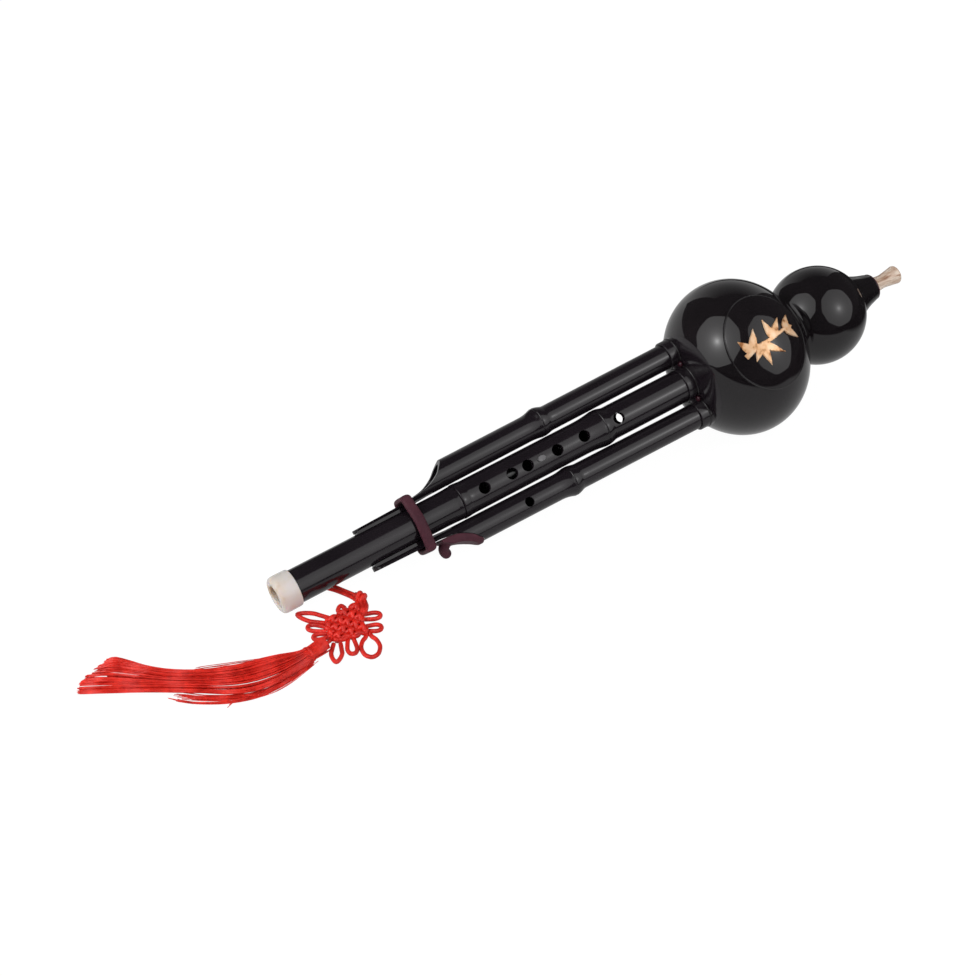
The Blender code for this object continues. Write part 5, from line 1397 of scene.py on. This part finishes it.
def make_socket():
    rim = SOCKET_RIM_AT
    spigot = SOCKET_BORE_IN_GOURD - TOUCH
    under_length = UPPER_HALF_LENGTH + TOUCH
    under_radius = UPPER_RADIUS + TOUCH
    corners = [
        (rim, SOCKET_BORE, 0.0002),
        (rim, SOCKET_RIM_RADIUS - 0.0020, 0.0008),
        (rim - 0.0008, SOCKET_RIM_RADIUS - 0.0006, 0.0008),
        (rim - 0.0022, SOCKET_RIM_RADIUS, 0.0010),
        (rim - SOCKET_LENGTH * 0.32, SOCKET_RIM_RADIUS + 0.0006, 0.0012),
        (rim - SOCKET_LENGTH * 0.52, SOCKET_RIM_RADIUS + 0.0013, 0.0012),
        (rim - SOCKET_LENGTH * 0.74, SOCKET_RIM_RADIUS + 0.0023, 0.0012),
        (rim - SOCKET_LENGTH * 0.94, SOCKET_RIM_RADIUS + 0.0034, 0.0010),
    ]
    for share in (1.0, 0.9, 0.8, 0.7, 0.6):
        radius = spigot + (SOCKET_FLARE - spigot) * (share - 0.6) / 0.4
        x = UPPER_AT + under_length * math.sqrt(1 - (radius / under_radius) ** 2)
        corners.append((x, radius, 0.0001 if share == 1.0 else 0))
    low = UPPER_TOP - 0.0076
    step = rim - SOCKET_DEPTH
    corners += [(low, spigot, 0), (low, spigot - 0.0022, 0), (step, spigot - 0.0022, 0), (step, SOCKET_BORE, 0)]
    shape = turned([(p.x, p.y) for p in rounded(corners)], 96)
    return finish_piece("tip_socket", shape, BLACK, "gourd", ("mouthpiece_socket",), place=FLUTE)


def make_tip():
    base = SOCKET_RIM_AT + TOUCH
    end = base + TIP_LENGTH
    spigot = SOCKET_BORE - TOUCH
    low = SOCKET_RIM_AT - SOCKET_DEPTH + 0.0008
    groove = (low + 0.0025, low + 0.0047)
    root = spigot - 0.0010
    corners = [
        (end, TIP_BORE, 0.0003),
        (end, TIP_FLARE - 0.0009, 0.0004),
        (end - 0.0006, TIP_FLARE - 0.0002, 0.0004),
        (end - 0.0014, TIP_FLARE, 0.0008),
        (end - 0.0028, TIP_FLARE - 0.0003, 0.0014),
        (base + TIP_LENGTH * 0.62, TIP_NECK + 0.0006, 0.0024),
        (base + TIP_LENGTH * 0.44, TIP_NECK + 0.0001, 0.0020),
        (base + TIP_LENGTH * 0.34, TIP_NECK, 0.0016),
        (base + TIP_LENGTH * 0.24, TIP_NECK + 0.0002, 0.0016),
        (base + TIP_LENGTH * 0.10, TIP_ROOT - 0.0006, 0.0010),
        (base + 0.0004, TIP_ROOT, 0.0004),
        (base, TIP_ROOT, 0),
        (base, spigot, 0),
        (groove[1], spigot, 0),
        (groove[1], root, 0),
        (groove[0], root, 0),
        (groove[0], spigot, 0),
        (low, spigot, 0.0003),
        (low, TIP_BORE, 0),
    ]
    shape = turned([(p.x, p.y) for p in rounded(corners)], 80)
    return finish_piece("blowing_tip", shape, HORN, "mouthpiece", ("mouthpiece_tip",), place=FLUTE)


make_socket()
make_bead("socket_rim_bead", FLUTE, SOCKET_RIM_AT - 0.0012, SOCKET_RIM_RADIUS - 0.0009, 0.0007, "gourd", BEAD)
make_tip()


# Rubber ring and stopper


def make_band():
    """The stretched rubber ring: a rounded strip round the main pipe and both tongues."""
    corners = []
    for share in (-0.66, -0.56):
        corners.append((drone_centre(BAND_AT) + share * DRONE_RADIUS, DRONE_RADIUS * math.sqrt(1 - share**2)))
    half = BAND_WIDTH / 2
    section = []
    for k in range(32):
        angle = 2 * math.pi * k / 32
        bulge = BAND_THICKNESS / 2 * math.copysign(abs(math.sin(angle)) ** 0.9, math.sin(angle))
        width = half * math.copysign(abs(math.cos(angle)) ** 0.9, math.cos(angle))
        section.append((BAND_AT + width, 1.0 + TOUCH + BAND_THICKNESS / 2 + bulge))
    shape = turned(section, 144)
    for vertex in shape.verts:
        x, y, z = vertex.co
        out = math.hypot(y, z)
        across, up = y / out, z / out
        offset = out - 1.0
        corner_y, corner_z = corners[0] if across > 0 else corners[1]
        if corner_y * abs(across) + corner_z * abs(up) > MAIN_FOOT_RADIUS:
            base = Vector((0, math.copysign(corner_y, across), math.copysign(corner_z, up)))
        else:
            base = Vector((0, MAIN_FOOT_RADIUS * across, MAIN_FOOT_RADIUS * up))
        vertex.co = Vector((x, base.y + offset * across, base.z + offset * up))
    bmesh.ops.recalc_face_normals(shape, faces=shape.faces)
    return finish_piece("stretched_ring", shape, WINE, "rubber_ring", ("rubber_ring",), sharp=0, place=FLUTE)


make_band()


# Floor, backdrop and lights


def add_math(tree, operation, first, second):
    """A Math node on two inputs, each a socket or a number."""
    node = add_node(tree, "ShaderNodeMath", operation=operation)
    for socket, value in zip(node.inputs, (first, second)):
        if isinstance(value, (int, float)):
            socket.default_value = value
        else:
            tree.links.new(value, socket)
    return node.outputs["Value"]


def reflection_ray(tree):
    """1 on a ray that a glossy or clear surface sends out, else 0."""
    path = add_node(tree, "ShaderNodeLightPath")
    return add_math(tree, "MAXIMUM", path.outputs["Is Glossy Ray"], path.outputs["Is Transmission Ray"])


def make_floor():
    """The table: white paper up to its front and right edges, dim past them where polished pieces mirror it."""
    finish, tree, shader = new_material("pale_floor")
    shader.inputs["Base Color"].default_value = (0.86, 0.86, 0.86, 1)
    shader.inputs["Roughness"].default_value = 0.9
    shader.inputs["Specular IOR Level"].default_value = 0.0
    place = add_node(tree, "ShaderNodeTexCoord")
    split = add_node(tree, "ShaderNodeSeparateXYZ")
    tree.links.new(place.outputs["Object"], split.inputs["Vector"])
    front = value_range(tree, split.outputs["Y"], 0.0, 1.0, -0.32, -0.26)
    right = value_range(tree, split.outputs["X"], 1.0, 0.0, 0.24, 0.30)
    paper = add_math(tree, "MULTIPLY", front, right)
    mirrored = value_range(tree, paper, 0.02, 0.56, 0, 1)
    path = add_node(tree, "ShaderNodeLightPath")
    seen = path.outputs["Is Camera Ray"]
    reflected = reflection_ray(tree)
    strength = add_math(tree, "ADD", add_math(tree, "MULTIPLY", seen, 1.06), add_math(tree, "MULTIPLY", reflected, mirrored))
    share = add_math(tree, "ADD", add_math(tree, "MULTIPLY", seen, 0.92), reflected)
    glow = add_node(tree, "ShaderNodeEmission")
    mix = add_node(tree, "ShaderNodeMixShader")
    tree.links.new(strength, glow.inputs["Strength"])
    tree.links.new(share, mix.inputs["Fac"])
    tree.links.new(shader.outputs["BSDF"], mix.inputs[1])
    tree.links.new(glow.outputs["Emission"], mix.inputs[2])
    tree.links.new(mix.outputs["Shader"], tree.nodes["Material Output"].inputs["Surface"])
    shape = bmesh.new()
    bmesh.ops.create_grid(shape, x_segments=1, y_segments=1, size=30)
    mesh = bpy.data.meshes.new("floor")
    shape.to_mesh(mesh)
    shape.free()
    mesh.materials.append(finish)
    floor = bpy.data.objects.new("floor", mesh)
    scene.collection.objects.link(floor)


def make_world():
    """White where it is seen, plain soft light on the object, and a dim room where polished pieces mirror it."""
    world = bpy.data.worlds.new("studio")
    world.use_nodes = True
    scene.world = world
    tree = world.node_tree
    back = tree.nodes["Background"]
    back.inputs["Color"].default_value = (1, 1, 1, 1)
    path = add_node(tree, "ShaderNodeLightPath")
    room = value_range(tree, path.outputs["Is Glossy Ray"], WORLD_LIGHT, 0.055, 0, 1)
    tree.links.new(add_math(tree, "MAXIMUM", path.outputs["Is Camera Ray"], room), back.inputs["Strength"])


def glowing(name):
    """A material with only a glow, and the socket of its strength."""
    finish = bpy.data.materials.new(name)
    finish.use_nodes = True
    tree = finish.node_tree
    tree.nodes.remove(tree.nodes["Principled BSDF"])
    glow = add_node(tree, "ShaderNodeEmission")
    tree.links.new(glow.outputs["Emission"], tree.nodes["Material Output"].inputs["Surface"])
    return finish, tree, glow.inputs["Strength"]


def direction(azimuth, elevation):
    a = math.radians(azimuth)
    e = math.radians(elevation)
    return Vector((math.cos(a) * math.cos(e), math.sin(a) * math.cos(e), math.sin(e)))


def hang(name, shape, finish, location, facing):
    """Puts a lit panel up, facing back along a direction, unseen by the camera."""
    mesh = bpy.data.meshes.new(name)
    shape.to_mesh(mesh)
    shape.free()
    mesh.materials.append(finish)
    panel = bpy.data.objects.new(name, mesh)
    panel.location = location
    panel.rotation_euler = facing.to_track_quat("Z", "Y").to_euler()
    panel.visible_camera = False
    scene.collection.objects.link(panel)
    return panel


def make_softbox(name, azimuth, elevation, half_angle, rim, peak, spread, power, drop, tall):
    """An eight-sided softbox that faces the gourd, its glow highest at its middle and falling off to its rim."""
    distance = 1.5
    radius = distance * math.tan(math.radians(half_angle))
    finish, tree, strength = glowing(name)
    place = add_node(tree, "ShaderNodeTexCoord")
    shift = add_node(tree, "ShaderNodeVectorMath", operation="ADD")
    shift.inputs[1].default_value = (0, drop, 0)
    far = add_node(tree, "ShaderNodeVectorMath", operation="LENGTH")
    tree.links.new(place.outputs["Object"], shift.inputs[0])
    tree.links.new(shift.outputs["Vector"], far.inputs[0])
    share = add_math(tree, "DIVIDE", far.outputs["Value"], distance * math.tan(math.radians(spread)))
    fall = add_math(tree, "ADD", add_math(tree, "POWER", share, power), 1.0)
    glow = add_math(tree, "ADD", add_math(tree, "DIVIDE", peak - rim, fall), rim)
    tree.links.new(glow, strength)
    shape = bmesh.new()
    bmesh.ops.create_circle(shape, cap_ends=True, segments=8, radius=radius * 1.04)
    bmesh.ops.rotate(shape, cent=(0, 0, 0), matrix=Matrix.Rotation(math.radians(22.5), 3, "Z"), verts=shape.verts)
    bmesh.ops.bevel(shape, geom=shape.verts[:], offset=radius * 0.16, affect="VERTICES", segments=5, profile=0.5)
    bmesh.ops.scale(shape, vec=(1, tall, 1), verts=shape.verts)
    away = direction(azimuth, elevation)
    hang(name, shape, finish, FLUTE @ Vector((LOWER_AT, 0, 0)) + away * distance, away)


def make_back_panel():
    """The white backdrop behind the flute, which only its polished pieces mirror: brightest low and at its sides."""
    wide = 0.32
    tall = 0.62
    finish, tree, strength = glowing("back_panel")
    place = add_node(tree, "ShaderNodeTexCoord")
    split = add_node(tree, "ShaderNodeSeparateXYZ")
    tree.links.new(place.outputs["Object"], split.inputs["Vector"])
    side = add_math(tree, "POWER", add_math(tree, "ABSOLUTE", split.outputs["X"], 0.0), 2.0)
    low = add_math(tree, "ADD", add_math(tree, "MULTIPLY", side, 3.0), 0.40)
    fade = value_range(tree, split.outputs["Y"], 1.0, 0.22, -tall / 2 + 0.02, tall / 2)
    tree.links.new(add_math(tree, "MULTIPLY", low, fade), strength)
    shape = bmesh.new()
    bmesh.ops.create_grid(shape, x_segments=1, y_segments=1, size=1)
    bmesh.ops.scale(shape, vec=(wide, tall / 2, 1), verts=shape.verts)
    away = direction(60, 0)
    middle = FLUTE @ Vector((LOWER_AT, 0, 0)) + away * 0.6
    middle.z = tall / 2 - 0.01
    panel = hang("back_panel", shape, finish, middle, away)
    panel.visible_diffuse = False
    panel.visible_shadow = False


WORLD_LIGHT = 0.24

make_floor()
make_world()
make_back_panel()
make_softbox("softbox_left", 176, 36.7, 34.5, 1.0, 9.5, 4.6, 1.7, 0.08, 1.07)
make_softbox("softbox_front", -64, 40, 39, 0.85, 5.4, 4.8, 1.6, 0.08, 1.0)
